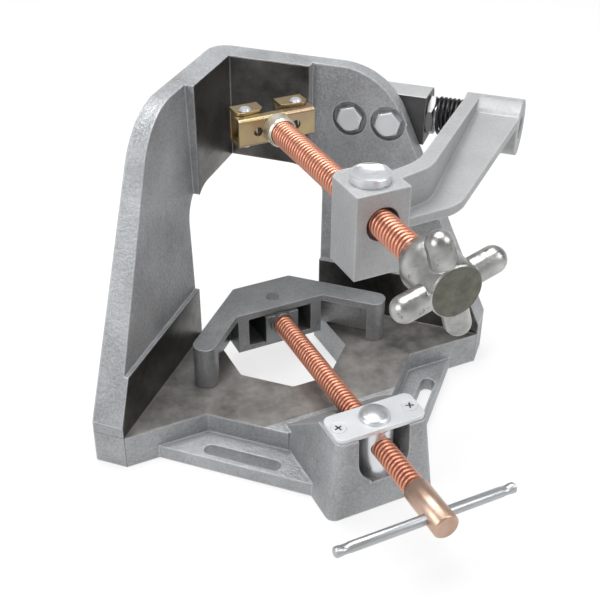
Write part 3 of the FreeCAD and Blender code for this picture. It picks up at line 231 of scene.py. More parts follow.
class Finish:
    """A material and the nodes it is built from."""

    def __init__(self, name):
        self.material = bpy.data.materials.new(name)
        self.material.use_nodes = True
        self.nodes = self.material.node_tree.nodes
        self.links = self.material.node_tree.links
        self.shader = self.nodes["Principled BSDF"]
        self.place = self.add("ShaderNodeTexCoord").outputs["Object"]

    def add(self, kind, **settings):
        """A new node with its settings."""
        node = self.nodes.new(kind)
        for key, value in settings.items():
            setattr(node, key, value)
        return node

    def feed(self, socket, value):
        """Link a socket, or set a plain value on it."""
        if isinstance(value, bpy.types.NodeSocket):
            self.links.new(value, socket)
        else:
            socket.default_value = value

    def maths(self, operation, first, second=0.0):
        """The result of a sum or a comparison."""
        node = self.add("ShaderNodeMath", operation=operation)
        for socket, value in zip(node.inputs, (first, second)):
            self.feed(socket, value)
        return node.outputs[0]

    def near(self, value, target, tolerance=FACE_TOLERANCE):
        """One where a value is close to its target, else nothing."""
        gap = self.maths("ABSOLUTE", self.maths("SUBTRACT", value, target))
        return self.maths("LESS_THAN", gap, tolerance)

    def spread(self, value, low, high, to_low=0.0, to_high=1.0):
        """Map a value from one range to another, held at both ends."""
        node = self.add("ShaderNodeMapRange")
        for socket, number in zip(node.inputs, (value, low, high, to_low, to_high)):
            self.feed(socket, number)
        return node.outputs["Result"]

    def axes(self):
        """Across, deep and high: the three object coordinates."""
        node = self.add("ShaderNodeSeparateXYZ")
        self.feed(node.inputs[0], self.place)
        return node.outputs

    def noise(self, scale, detail=3.0, roughness=0.55, at=None):
        """Noise on the object coordinates, or on others."""
        node = self.add("ShaderNodeTexNoise")
        self.feed(node.inputs["Vector"], self.place if at is None else at)
        node.inputs["Scale"].default_value = scale
        node.inputs["Detail"].default_value = detail
        node.inputs["Roughness"].default_value = roughness
        return node.outputs["Fac"]

    def clouds(self, scale, detail=3.0, low=0.0, high=1.0):
        """Noise spread over a range of its own."""
        return self.spread(self.noise(scale, detail), *NOISE_BAND, low, high)

    def streaks(self, scale, detail=3.0, roughness=0.6):
        """Noise on stretched object coordinates, for scratches and tool marks."""
        node = self.add("ShaderNodeMapping")
        self.feed(node.inputs["Vector"], self.place)
        node.inputs["Scale"].default_value = scale
        return self.noise(1.0, detail, roughness, node.outputs[0])

    def mix(self, kind, share, first, second):
        """Mix two values of one kind by a share."""
        node = self.add("ShaderNodeMix", data_type=kind)
        first_socket, second_socket, result = MIX_SOCKETS[kind]
        self.feed(node.inputs["Factor"], share)
        self.feed(node.inputs[first_socket], first)
        self.feed(node.inputs[second_socket], second)
        return node.outputs[result]

    def blend(self, share, first, second):
        """Mix two colours by a share."""
        pair = [part if isinstance(part, bpy.types.NodeSocket) else (*part, 1.0)
                for part in (first, second)]
        return self.mix("RGBA", share, *pair)

    def shaded(self, colour, factor):
        """A colour made lighter or darker by a changing factor."""
        node = self.add("ShaderNodeVectorMath", operation="SCALE")
        self.feed(node.inputs[0], colour)
        self.feed(node.inputs["Scale"], factor)
        return node.outputs[0]

    def bump(self, height, strength, distance, under=None):
        """A normal bumped by a height, over another normal or alone."""
        node = self.add("ShaderNodeBump")
        self.feed(node.inputs["Height"], height)
        self.feed(node.inputs["Strength"], strength)
        node.inputs["Distance"].default_value = distance
        if under is not None:
            self.feed(node.inputs["Normal"], under)
        return node.outputs[0]

    def soft_edges(self, radius, samples=6):
        """Rounded edges in the shading of a part with sharp corners."""
        node = self.add("ShaderNodeBevel", samples=samples)
        node.inputs["Radius"].default_value = radius
        return node.outputs[0]

    def soften(self, radius):
        """Lay the lowest bumps over rounded edges, and return those edges."""
        soft = self.soft_edges(radius)
        for node in self.nodes:
            if node.type == "BUMP" and not node.inputs["Normal"].is_linked:
                self.feed(node.inputs["Normal"], soft)
        return soft

    def edge_share(self, radius):
        """Where an edge is, by how far the rounded normal leaves the true one."""
        true_normal = self.add("ShaderNodeNewGeometry").outputs["Normal"]
        node = self.add("ShaderNodeVectorMath", operation="DISTANCE")
        self.feed(node.inputs[0], self.soft_edges(radius, 4))
        self.feed(node.inputs[1], true_normal)
        return self.spread(node.outputs["Value"], *EDGE_BAND)

    def edge_wear_and_highlight(self, radius, share, colour, rubbed):
        """A colour with its edges partly turned to another: rubbed wear together with a painted
        edge highlight.
        """
        edge = self.edge_share(radius)
        return self.blend(self.maths("MULTIPLY", edge, share), colour, rubbed)

    def finish(self, colour, roughness, normal=None, metallic=1.0):
        """Feed the shader and return the material."""
        self.feed(self.shader.inputs["Base Color"], colour)
        self.feed(self.shader.inputs["Roughness"], roughness)
        self.feed(self.shader.inputs["Metallic"], metallic)
        if normal is not None:
            self.feed(self.shader.inputs["Normal"], normal)
        return self.material


def tinted(colour, factor):
    """A plain colour made lighter or darker."""
    return tuple(min(1.0, part * factor) for part in colour)


def cast_skin(finish, colour, grain, spread):
    """Colour and bump of a blasted sand-cast skin."""
    cloud = finish.noise(28.0, 4.0)
    speck = finish.noise(620.0, 3.0, 0.7)
    shade = finish.maths("ADD", finish.maths("MULTIPLY", cloud, 0.5),
                         finish.maths("MULTIPLY", speck, 0.5))
    share = finish.spread(shade, 0.36, 0.64)
    skin = finish.blend(share, tinted(colour, 1.0 - spread), tinted(colour, 1.0 + spread))
    coarse = finish.bump(finish.noise(110.0, 3.0), 0.4, 0.0014)
    middle = finish.bump(finish.noise(430.0, 3.0, 0.6), 0.8, 2.4 * grain, coarse)
    fine = finish.bump(finish.noise(1100.0, 3.0, 0.65), 0.5, grain, middle)
    return skin, fine


def cast_finish(name, colour, edge_radius, roughness, grain, metallic=0.6, spread=0.22):
    """Sand-cast iron with brighter edges, which are rubbed wear and a painted edge highlight."""
    finish = Finish(name)
    skin, normal = cast_skin(finish, colour, grain, spread)
    # Lighter edges: rubbed wear and a painted edge highlight
    body = finish.edge_wear_and_highlight(edge_radius, 0.55, skin, tinted(colour, 1.7))
    rough = finish.clouds(60.0, 3.0, *roughness)
    finish.soften(edge_radius)
    return finish.finish(body, rough, normal, metallic)


def body_finish(colours):
    """The casting: a cast skin everywhere but on the machined wall pads and bed."""
    finish = Finish("casting_iron")
    edge_radius = 0.0014
    across, deep, high = finish.axes()
    behind = finish.maths("ADD", finish.maths("ABSOLUTE", across), deep)
    wall = finish.near(behind, CORNER_Y, WALL_TOLERANCE)
    bed = finish.maths("MULTIPLY", finish.near(high, BED_HEIGHT),
                       finish.maths("GREATER_THAN", deep, BED_FRONT))
    machined = finish.maths("MAXIMUM", wall, bed)
    skin, cast_normal = cast_skin(finish, colours.casting, grain=0.00035, spread=0.26)
    edge = finish.edge_share(edge_radius)
    # Lighter edges on the cast skin: rubbed wear and a painted edge highlight
    skin = finish.blend(finish.maths("MULTIPLY", edge, 0.6), skin, tinted(colours.casting, 2.1))
    marks = finish.streaks((70.0, 70.0, 1500.0), 2.0)
    cloud = finish.noise(22.0, 5.0, 0.7)
    tone = finish.blend(bed, colours.machined, colours.bed)
    ground = finish.shaded(tone, finish.spread(cloud, 0.34, 0.66, 0.45, 1.75))
    # Lighter edges on the machined pads and bed: rubbed wear and a painted edge highlight
    ground = finish.blend(finish.maths("MULTIPLY", edge, 0.5), ground,
                          tinted(colours.machined, 3.0))
    colour = finish.blend(machined, skin, ground)
    flat = finish.bump(marks, 0.12, 0.00006, finish.soften(edge_radius))
    normal = finish.mix("VECTOR", machined, cast_normal, flat)
    cast_rough = finish.clouds(60.0, 3.0, 0.44, 0.6)
    flat_rough = finish.maths("ADD", finish.spread(marks, *NOISE_BAND, 0.27, 0.40),
                              finish.maths("MULTIPLY", bed, 0.16))
    rough = finish.mix("FLOAT", machined, cast_rough, flat_rough)
    metal = finish.maths("SUBTRACT", finish.spread(machined, 0.0, 1.0, 0.6, 1.0),
                         finish.maths("MULTIPLY", bed, 0.35))
    return finish.finish(colour, rough, normal, metal)


def copper_finish(name, colour, axis_height, crest, depth, head_end=-1.0):
    """Satin copper plate: pale crests, dark red roots that are painted shade in the thread's
    grooves, and a rubbed head in front of head_end.
    """
    finish = Finish(name)
    across, deep, high = finish.axes()
    rise = finish.maths("SUBTRACT", high, axis_height)
    squares = finish.maths("ADD", finish.maths("MULTIPLY", across, across),
                           finish.maths("MULTIPLY", rise, rise))
    span = finish.maths("SQRT", squares)
    share = finish.spread(span, crest - 0.92 * depth, crest - 0.22 * depth)
    cloud = finish.clouds(95.0)
    crest_colour = finish.blend(cloud, tinted(colour, 0.93), tinted(colour, 1.08))
    # Roots darkened towards the root tone by their depth: painted shade in the thread's grooves
    body = finish.blend(share, COPPER_ROOT_SHADE, crest_colour)
    rubbed = finish.blend(cloud, RUBBED_DARK, RUBBED_PALE)
    body = finish.blend(finish.maths("LESS_THAN", deep, head_end), body, rubbed)
    normal = finish.bump(finish.streaks((160.0, 900.0, 160.0), 2.0, 0.5), 0.08, 0.00004)
    rough = finish.spread(share, 0.0, 1.0, 0.52, 0.38)
    return finish.finish(body, rough, normal)


def plated_finish(name, colour, roughness, edge_radius, streak=(300.0, 300.0, 300.0), tint=None,
                  cloudy=0.06, metallic=1.0):
    """Plated or polished steel with faint streaks, clouds, and lighter edges that are rubbed wear
    and a painted edge highlight.
    """
    finish = Finish(name)
    second = tint or tinted(colour, 1.0 + cloudy)
    body = finish.blend(finish.clouds(75.0, 4.0), tinted(colour, 1.0 - cloudy), second)
    normal = None
    if edge_radius > 0:
        # Lighter edges: rubbed wear and a painted edge highlight
        body = finish.edge_wear_and_highlight(edge_radius, 0.4, body, tinted(colour, 1.5))
        normal = finish.soft_edges(edge_radius, 8)
    if streak is not None:
        normal = finish.bump(finish.streaks(streak), 0.05, 0.00003, normal)
    return finish.finish(body, finish.clouds(160.0, 2.0, *roughness), normal, metallic)


def bar_finish(colours, top):
    """Black bracket bar with a milled top face."""
    finish = Finish("bracket_steel")
    edge_radius = 0.0009
    _, _, high = finish.axes()
    milled = finish.maths("GREATER_THAN", high, top - MILLED_DEPTH)
    cloud = finish.clouds(60.0, 4.0)
    black = finish.blend(cloud, tinted(colours.dark, 0.8), tinted(colours.dark, 1.25))
    pale = finish.blend(cloud, tinted(colours.milled, 0.88), tinted(colours.milled, 1.1))
    body = finish.edge_wear_and_highlight(edge_radius, 0.35, finish.blend(milled, black, pale), colours.milled)
    marks = finish.streaks((400.0, 400.0, 60.0))
    normal = finish.bump(marks, 0.12, 0.00005, finish.soft_edges(edge_radius, 8))
    rough = finish.spread(marks, *NOISE_BAND, 0.4, 0.5)
    return finish.finish(body, rough, normal, 0.7)


def screw_finish(colours, top):
    """Bright zinc screw head with painted shade in its cross and around its rim."""
    finish = Finish("screw_zinc")
    _, _, high = finish.axes()
    sunk_shade = finish.maths("LESS_THAN", high, top - SUNK_DEPTH)
    bright = finish.blend(finish.clouds(200.0), tinted(colours.zinc, 0.96),
                          tinted(colours.zinc, 1.08))
    # Below the flat face, in the cross and down the rounded rim, the zinc is painted nearly black:
    # painted shade
    body = finish.blend(sunk_shade, bright, tinted(colours.zinc, 0.1))
    rough = finish.clouds(160.0, 2.0, 0.36, 0.44)
    normal = finish.bump(finish.noise(600.0, 2.0), 0.1, 0.00003)
    return finish.finish(body, rough, normal, 0.45)


def knob_finish(colours):
    """Tumbled bright casting with painted dark patches of shade and reflection, and a sawn, duller
    hub face.
    """
    finish = Finish("knob_metal")
    _, deep, _ = finish.axes()
    sawn = finish.near(deep, KNOB_FACE_Y)
    cloud = finish.clouds(60.0, 4.0)
    bright = finish.blend(cloud, tinted(colours.bright, 0.55), tinted(colours.bright, 1.3))
    # Dark patches painted over the bright metal: painted shade in the recesses and painted dark
    # reflections
    painted_dark_patches = finish.spread(finish.noise(130.0, 5.0, 0.7), 0.55, 0.68)
    bright = finish.blend(finish.maths("MULTIPLY", painted_dark_patches, 0.8), bright,
                          tinted(colours.bright, 0.14))
    mottle = finish.spread(finish.noise(170.0, 4.0, 0.7), *NOISE_BAND)
    dull = finish.blend(mottle, HUB_DARK, HUB_PALE)
    body = finish.blend(sawn, bright, dull)
    waves = finish.bump(finish.noise(95.0, 3.0), 0.4, 0.0010, finish.soft_edges(0.0009))
    pits = finish.bump(finish.noise(700.0, 2.0), 0.25, 0.00015, waves)
    rough = finish.maths("MAXIMUM", finish.spread(cloud, 0.0, 1.0, 0.3, 0.38),
                         finish.maths("MULTIPLY", sawn, 0.52))
    return finish.finish(body, rough, pits)


def floor_finish():
    """Floor that is white to the camera and in reflections, and still takes the shadow."""
    finish = Finish("floor")
    finish.finish(FLOOR_TONE, 0.9, None, 0.0)
    finish.shader.inputs["Specular IOR Level"].default_value = 0.0
    rays = finish.add("ShaderNodeLightPath").outputs
    mirrored = finish.maths("MAXIMUM", rays["Is Glossy Ray"], rays["Is Transmission Ray"])
    camera = finish.maths("MULTIPLY", rays["Is Camera Ray"], FLOOR_WHITE)
    white = finish.add("ShaderNodeEmission")
    white.inputs["Strength"].default_value = 1.0
    mix = finish.add("ShaderNodeMixShader")
    finish.feed(mix.inputs[0], finish.maths("MAXIMUM", mirrored, camera))
    finish.feed(mix.inputs[1], finish.shader.outputs[0])
    finish.feed(mix.inputs[2], white.outputs[0])
    finish.feed(finish.nodes["Material Output"].inputs["Surface"], mix.outputs[0])
    return finish.material


def new_piece(name, bm, material, smooth_angle=35.0):
    """Turn a bmesh into a finished piece at the origin."""
    bmesh.ops.recalc_face_normals(bm, faces=bm.faces[:])
    mesh = bpy.data.meshes.new(name)
    bm.to_mesh(mesh)
    bm.free()
    old_normals = mesh.attributes.get("custom_normal")
    if old_normals:
        mesh.attributes.remove(old_normals)
    mesh.materials.append(material)
    mesh.shade_smooth()
    mesh.set_sharp_from_angle(angle=math.radians(smooth_angle))
    piece = bpy.data.objects.new(name, mesh)
    bpy.context.scene.collection.objects.link(piece)
    return piece


def of_kind(items, kind):
    """The verts or the edges among the items of a bmesh."""
    return [item for item in items if isinstance(item, kind)]


def edges_of(verts):
    """Every edge at some verts, once."""
    return list({edge for vert in verts for edge in vert.link_edges})


def chain(bm, points):
    """A chain of edges through points."""
    verts = [bm.verts.new(point) for point in points]
    edges = [bm.edges.new(pair) for pair in zip(verts, verts[1:])]
    return verts + edges


def turned(bm, points, centre, axis, steps):
    """Spin a profile all the way round."""
    bmesh.ops.spin(bm, geom=chain(bm, points), cent=centre, axis=axis, angle=math.tau,
                   steps=steps, use_merge=True)
    bmesh.ops.remove_doubles(bm, verts=bm.verts[:], dist=1e-6)


def extruded(bm, edges):
    """Extrude a loop of edges, and return the verts and edges of the new loop."""
    grown = bmesh.ops.extrude_edge_only(bm, edges=edges)["geom"]
    verts = of_kind(grown, bmesh.types.BMVert)
    loop = [edge for edge in of_kind(grown, bmesh.types.BMEdge)
            if all(vert in verts for vert in edge.verts)]
    return verts, loop


def keep_side(bm, place, direction, axis=Y_AXIS, reach=1e-7):
    """Keep one side of a plane across an axis, with what is within reach of it, and close it."""
    cut = bmesh.ops.bisect_plane(
        bm, geom=bm.verts[:] + bm.edges[:] + bm.faces[:], dist=reach,
        plane_co=axis * place, plane_no=axis * direction, clear_inner=True)
    bmesh.ops.contextual_create(bm, geom=of_kind(cut["geom_cut"], bmesh.types.BMEdge))


def add_thread(bm, sizes, height, radius, start, end):
    """A right-hand thread along Y: one turn, copied on, and cut square at both ends."""
    pitch = sizes.pitch
    first = start - pitch
    profile = [Vector((radius - below * sizes.depth, first + share * pitch, height))
               for below, share in THREAD_PROFILE]
    bmesh.ops.spin(bm, geom=chain(bm, profile), cent=(0, 0, height), axis=Y_AXIS,
                   dvec=(0, pitch / sizes.steps, 0), angle=math.tau, steps=sizes.steps,
                   use_merge=False)
    one_turn = bm.verts[:] + bm.edges[:] + bm.faces[:]
    for number in range(1, math.ceil((end - start) / pitch) + 2):
        copy = bmesh.ops.duplicate(bm, geom=one_turn)["geom"]
        bmesh.ops.translate(bm, verts=of_kind(copy, bmesh.types.BMVert),
                            vec=(0, number * pitch, 0))
    bmesh.ops.remove_doubles(bm, verts=bm.verts[:], dist=1e-5)
    keep_side(bm, start, 1)
    keep_side(bm, end, -1)


def node_copy(node):
    """A merged copy of a frame node's mesh."""
    bm = bmesh.new()
    bm.from_mesh(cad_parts[node].data)
    bmesh.ops.remove_doubles(bm, verts=bm.verts[:], dist=1e-6)
    return bm


def joined(*parts):
    """One bmesh out of several."""
    whole = parts[0]
    for part in parts[1:]:
        mesh = bpy.data.meshes.new("join")
        part.to_mesh(mesh)
        part.free()
        whole.from_mesh(mesh)
        bpy.data.meshes.remove(mesh)
    return whole


def quarter_arc(reach, base, rise, steps):
    """Points of a quarter ellipse, from beside its axis to its end on the axis."""
    angles = [math.pi / 2 * step / steps for step in range(1, steps + 1)]
    return [(reach * math.cos(angle), base + rise * math.sin(angle)) for angle in angles]


def centre_of(node):
    """The middle of a frame node's box."""
    low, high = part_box(node)
    return (Vector(low) + Vector(high)) / 2


def reach_along(node):
    """How far a frame node reaches along the right wall."""
    return max(vert.co.dot(ALONG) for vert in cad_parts[node].data.vertices)


def node_finish(node, material):
    """Give a frame node its finish."""
    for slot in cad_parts[node].material_slots:
        slot.material = material


class CLAMP_OT_lower_spindle(bpy.types.Operator):
    """Cut the lower spindle's thread between its nose and its plain head"""

    bl_idname = "clamp.lower_spindle"
    bl_label = "Lower spindle"

    def execute(self, context):
        threads, colours = context.scene.clamp_threads, context.scene.clamp_colours
        low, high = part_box("lower_spindle")
        height = (high[2] + low[2]) / 2
        block_low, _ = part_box("swivel_block")
        shoulder, nose_end = low[1] + PLAIN_HEAD, block_low[1] + NOSE_OVERLAP
        plain_head = node_copy("lower_spindle")
        keep_side(plain_head, shoulder, -1)
        nose = node_copy("lower_spindle")
        keep_side(nose, nose_end, 1)
        thread = bmesh.new()
        add_thread(thread, threads, height, LOWER_RADIUS, shoulder - HEAD_LAP, nose_end + NOSE_LAP)
        material = copper_finish("copper_low", colours.copper, height, LOWER_RADIUS,
                                 threads.depth, shoulder)
        piece = new_piece("lower_spindle_thread", joined(thread, plain_head, nose), material,
                          smooth_angle=55.0)
        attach(piece, "lower_screw")
        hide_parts("lower_spindle")
        return {"FINISHED"}


class CLAMP_OT_upper_spindle(bpy.types.Operator):
    """Cut the upper spindle's thread from the socket to the knob"""

    bl_idname = "clamp.upper_spindle"
    bl_label = "Upper spindle"

    def execute(self, context):
        threads, colours = context.scene.clamp_threads, context.scene.clamp_colours
        low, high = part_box("upper_spindle")
        height, radius = (high[2] + low[2]) / 2, (high[0] - low[0]) / 2
        bm = bmesh.new()
        add_thread(bm, threads, height, radius, low[1], high[1])
        material = copper_finish("copper_high", colours.copper, height, radius, threads.depth)
        piece = new_piece("upper_spindle_thread", bm, material, smooth_angle=55.0)
        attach(piece, "upper_screw")
        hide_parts("upper_spindle")
        return {"FINISHED"}


class CLAMP_OT_cross_handle(bpy.types.Operator):
    """Turn the cross handle, and pinch it flat near both ends"""

    bl_idname = "clamp.cross_handle"
    bl_label = "Cross handle"

    def execute(self, context):
        sizes, colours = context.scene.clamp_fittings, context.scene.clamp_colours
        low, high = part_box("tee_bar")
        radius = (high[2] - low[2]) / 2
        height, deep = (high[2] + low[2]) / 2, (high[1] + low[1]) / 2
        half = sizes.pinch_length / 2
        flats = [low[0] + sizes.pinch_inset, high[0] - sizes.pinch_inset]
        stations = [flat + half * share for flat in flats for share in FLAT_STATIONS]
        profile = [(low[0], 0), (low[0], radius - HANDLE_CHAMFER),
                   (low[0] + HANDLE_CHAMFER, radius)]
        profile += [(station, radius) for station in stations]
        profile += [(high[0] - HANDLE_CHAMFER, radius), (high[0], radius - HANDLE_CHAMFER),
                    (high[0], 0)]
        points = [Vector((across, deep, height + span)) for across, span in profile]
        bm = bmesh.new()
        turned(bm, points, (0, deep, height), (1, 0, 0), HANDLE_SIDES)
        for vert in bm.verts:
            reach = min(abs(vert.co.x - flat) for flat in flats) / half
            if reach < FLAT_END:
                share = 1.0 - (1.0 - sizes.pinch_share) * (1.0 - reach ** 3)
                vert.co.z = height + (vert.co.z - height) * share
        material = plated_finish("handle_steel", tinted(colours.zinc, 0.6), roughness=(0.3, 0.4),
                                 edge_radius=0.0004, streak=(30.0, 900.0, 900.0), metallic=0.85)
        piece = new_piece("cross_handle_bar", bm, material)
        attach(piece, "cross_handle")
        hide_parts("tee_bar")
        return {"FINISHED"}


class CLAMP_OT_plate_screws(bpy.types.Operator):
    """Make the two countersunk screws with their cross recesses"""

    bl_idname = "clamp.plate_screws"
    bl_label = "Plate screws"

    def execute(self, context):
        sizes, colours = context.scene.clamp_fittings, context.scene.clamp_colours
        low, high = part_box("plate_screws")
        radius, top = (high[1] - low[1]) / 2, high[2]
        deep = (high[1] + low[1]) / 2
        bm = bmesh.new()
        for across, turn in zip((low[0] + radius, high[0] - radius), SCREW_TURNS):
            self.add_screw(bm, sizes, Vector((across, deep, top)), radius, top - low[2], turn)
        piece = new_piece("countersunk_screws", bm, screw_finish(colours, top),
                          smooth_angle=30.0)
        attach(piece, "casting")
        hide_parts("plate_screws")
        return {"FINISHED"}

    def add_screw(self, bm, sizes, centre, radius, length, turn):
        """One screw: a flat head with a sunk cross, the cone below it and the shank."""
        part = bmesh.new()
        outer = self.add_face(part, sizes, radius - SCREW_RIM)
        half = radius * 0.5
        for spread, drop in ((radius - SCREW_EDGE, SCREW_RIM), (half, half), (half, length)):
            verts, outer = extruded(part, outer)
            for vert in verts:
                flat = Vector((vert.co.x, vert.co.y, 0)).normalized() * spread
                vert.co = Vector((flat.x, flat.y, -drop))
        bmesh.ops.contextual_create(part, geom=outer)
        bmesh.ops.rotate(part, verts=part.verts[:], cent=(0, 0, 0),
                         matrix=Matrix.Rotation(turn, 3, "Z"))
        bmesh.ops.translate(part, verts=part.verts[:], vec=centre)
        joined(bm, part)

    def add_face(self, part, sizes, radius):
        """The flat face with its cross sunk in, and the edges round it."""
        rim = bmesh.ops.create_circle(part, segments=SIDES, radius=radius, cap_ends=False)["verts"]
        reach, half = sizes.cross_reach, sizes.cross_half
        plus = []
        for quarter in range(4):
            spin = Matrix.Rotation(quarter * math.pi / 2, 4, "Z")
            for x, y in ((reach, -half), (reach, half), (half, half)):
                plus.append(part.verts.new(spin @ Vector((x, y, 0))))
        loop = [part.edges.new(pair) for pair in zip(plus, plus[1:] + plus[:1])]
        outer = edges_of(rim)
        bmesh.ops.triangle_fill(part, use_beauty=True, edges=outer + loop)
        inside = []
        for face in part.faces:
            middle = face.calc_center_median()
            if (all(vert in plus for vert in face.verts) and middle.length < reach
                    and min(abs(middle.x), abs(middle.y)) < half):
                inside.append(face)
        if inside:
            bmesh.ops.delete(part, geom=inside, context="FACES_ONLY")
        low_verts, low_loop = extruded(part, loop)
        for vert in low_verts:
            vert.co = vert.co * CROSS_TAPER - Vector((0, 0, sizes.cross_depth))
        bmesh.ops.contextual_create(part, geom=low_loop)
        return outer


class CLAMP_OT_pivot_spring(bpy.types.Operator):
    """Wind the smooth coil spring between the stud's nut and the arm's boss"""

    bl_idname = "clamp.pivot_spring"
    bl_label = "Pivot spring"

    def execute(self, context):
        sizes, colours = context.scene.clamp_fittings, context.scene.clamp_colours
        wire = sizes.wire_radius
        first = reach_along("bracket_bar") + sizes.nut_thick + SPRING_GAP
        length = reach_along("pivot_spring") - first
        middle = centre_of("pivot_spring")
        centre = middle + ALONG * (first + length / 2 - middle.dot(ALONG))
        spot = centre - ALONG * (length / 2 - wire) + OUT * (sizes.spring_radius - wire)
        upright = Matrix((OUT, ALONG, Z_AXIS)).transposed().to_4x4()
        facing = upright @ Matrix.Rotation(math.pi, 4, "X")
        bm = bmesh.new()
        ring = bmesh.ops.create_circle(bm, segments=WIRE_SIDES, radius=wire)["verts"]
        bmesh.ops.transform(bm, matrix=Matrix.Translation(spot) @ facing, verts=ring)
        steps = round((length - 2 * wire) / sizes.spring_pitch * COIL_STEPS)
        bmesh.ops.spin(bm, geom=ring + edges_of(ring), cent=centre, axis=ALONG,
                       dvec=ALONG * ((length - 2 * wire) / steps),
                       angle=math.tau * (steps / COIL_STEPS), steps=steps)
        bmesh.ops.holes_fill(bm, edges=[edge for edge in bm.edges if edge.is_boundary])
        material = plated_finish("spring_wire", tinted(colours.dark, 0.55), roughness=(0.3, 0.42),
                                 edge_radius=0.0002)
        piece = new_piece("pivot_coil", bm, material, smooth_angle=50.0)
        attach(piece, "casting")
        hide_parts("pivot_spring")
        return {"FINISHED"}


class CLAMP_OT_stud_nut(bpy.types.Operator):
    """Make the thin hexagon nut that locks the pivot stud"""

    bl_idname = "clamp.stud_nut"
    bl_label = "Stud nut"

    def execute(self, context):
        sizes, colours = context.scene.clamp_fittings, context.scene.clamp_colours
        middle, thick = centre_of("stud_nut"), sizes.nut_thick
        seat = middle + ALONG * (reach_along("bracket_bar") - middle.dot(ALONG))
        corner = NUT_FLATS / math.cos(math.pi / 6)
        chamfer = (corner - NUT_FLATS) * NUT_CHAMFER
        profile = ((NUT_BORE, 0.0), (NUT_FLATS, 0.0), (corner, chamfer), (corner, thick - chamfer),
                   (NUT_FLATS, thick), (NUT_BORE, thick), (NUT_BORE, 0.0))
        points = [seat + OUT * span + ALONG * rise for span, rise in profile]
        bm = bmesh.new()
        turned(bm, points, seat, ALONG, SIDES)
        for side in range(6):
            angle = side * math.pi / 3
            square = OUT * math.cos(angle) + Z_AXIS * math.sin(angle)
            keep_side(bm, seat.dot(square) + NUT_FLATS, -1, square, reach=1e-6)
        material = plated_finish("nut_steel", tinted(colours.dark, 2.2), roughness=(0.3, 0.4),
                                 edge_radius=0.0004)
        piece = new_piece("stud_lock_nut", bm, material, smooth_angle=20.0)
        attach(piece, "casting")
        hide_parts("stud_nut")
        return {"FINISHED"}


class CLAMP_OT_nut_heads(bpy.types.Operator):
    """Turn the lower nut's domed head and the upper nut's dished cap"""

    bl_idname = "clamp.nut_heads"
    bl_label = "Nut heads"

    def execute(self, context):
        sizes, colours = context.scene.clamp_fittings, context.scene.clamp_colours
        material = plated_finish("bright_zinc_heads", colours.zinc, roughness=(0.27, 0.31),
                                 edge_radius=0, streak=None, cloudy=0.03, metallic=0.85)
        seat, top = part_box("retaining_plate")[1][2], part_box("lower_trunnion")[1][2]
        radius, shoulder = sizes.dome_radius, seat + DOME_BAND
        dome = [(radius, seat), (radius, shoulder)]
        dome += quarter_arc(radius, shoulder, top - shoulder, 12)
        self.add_head("lower_trunnion", "domed_nut", "lower_nut", seat, dome, material)
        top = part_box("arm_trunnion")[1][2]
        seat, radius = top - sizes.cap_thick, sizes.cap_radius
        cap = [(radius, seat), (radius, top - CAP_ROUND), (radius - CAP_ROUND, top),
               (radius - CAP_LIP, top)]
        cap += quarter_arc(radius - CAP_LIP, top, -CAP_DISH, 10)
        self.add_head("arm_trunnion", "capped_nut", "upper_nut", seat, cap, material)
        return {"FINISHED"}

    def add_head(self, node, name, body, seat, profile, material):
        """The node below its head, with a smooth head turned above it."""
        centre, bottom = centre_of(node), seat - SHANK_LAP
        shank = node_copy(node)
        keep_side(shank, bottom, -1, Z_AXIS)
        head = bmesh.new()
        points = [Vector((centre.x + span, centre.y, height))
                  for span, height in [(0, bottom), (profile[0][0], bottom), *profile]]
        turned(head, points, centre, Z_AXIS, HEAD_SIDES)
        piece = new_piece(name, joined(head, shank), material, smooth_angle=40.0)
        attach(piece, body)
        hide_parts(node)


class CLAMP_OT_castings(bpy.types.Operator):
    """Give the body, the jaw, the arm and the knob their cast finishes"""

    bl_idname = "clamp.castings"
    bl_label = "Castings"

    def execute(self, context):
        colours = context.scene.clamp_colours
        node_finish("body_casting", body_finish(colours))
        jaw = cast_finish("jaw_iron_skin", colours.jaw, edge_radius=0.0011,
                          roughness=(0.38, 0.52), grain=0.0002)
        node_finish("swivel_jaw", jaw)
        arm = cast_finish("arm_iron_skin", colours.arm, edge_radius=0.0014,
                          roughness=(0.5, 0.62), grain=0.0002, metallic=0.35, spread=0.12)
        node_finish("swing_arm", arm)
        node_finish("star_knob", knob_finish(colours))
        return {"FINISHED"}


class CLAMP_OT_plated_fittings(bpy.types.Operator):
    """Give the plate, stud, rivets, channel, shoes and socket their plated finishes"""

    bl_idname = "clamp.plated_fittings"
    bl_label = "Plated fittings"

    def execute(self, context):
        colours = context.scene.clamp_colours
        plate = plated_finish("zinc_plate", colours.zinc, roughness=(0.4, 0.46),
                              edge_radius=0.0005, cloudy=0.03, metallic=0.45)
        node_finish("retaining_plate", plate)
        bright = plated_finish("bright_zinc", colours.zinc, roughness=(0.27, 0.3),
                               edge_radius=0, cloudy=0.04, metallic=0.85)
        for node in ("shoe_rivets", "pivot_stud"):
            node_finish(node, bright)
        gold = plated_finish("yellow_zinc_plate", colours.gold, roughness=(0.3, 0.38),
                             edge_radius=0.0005, tint=GOLD_BROWN)
        for node in ("pad_yoke", "left_shoe", "right_shoe"):
            node_finish(node, gold)
        collar = plated_finish("collar_plate", colours.collar, roughness=(0.34, 0.46),
                               edge_radius=0.0005)
        node_finish("pad_socket", collar)
        return {"FINISHED"}


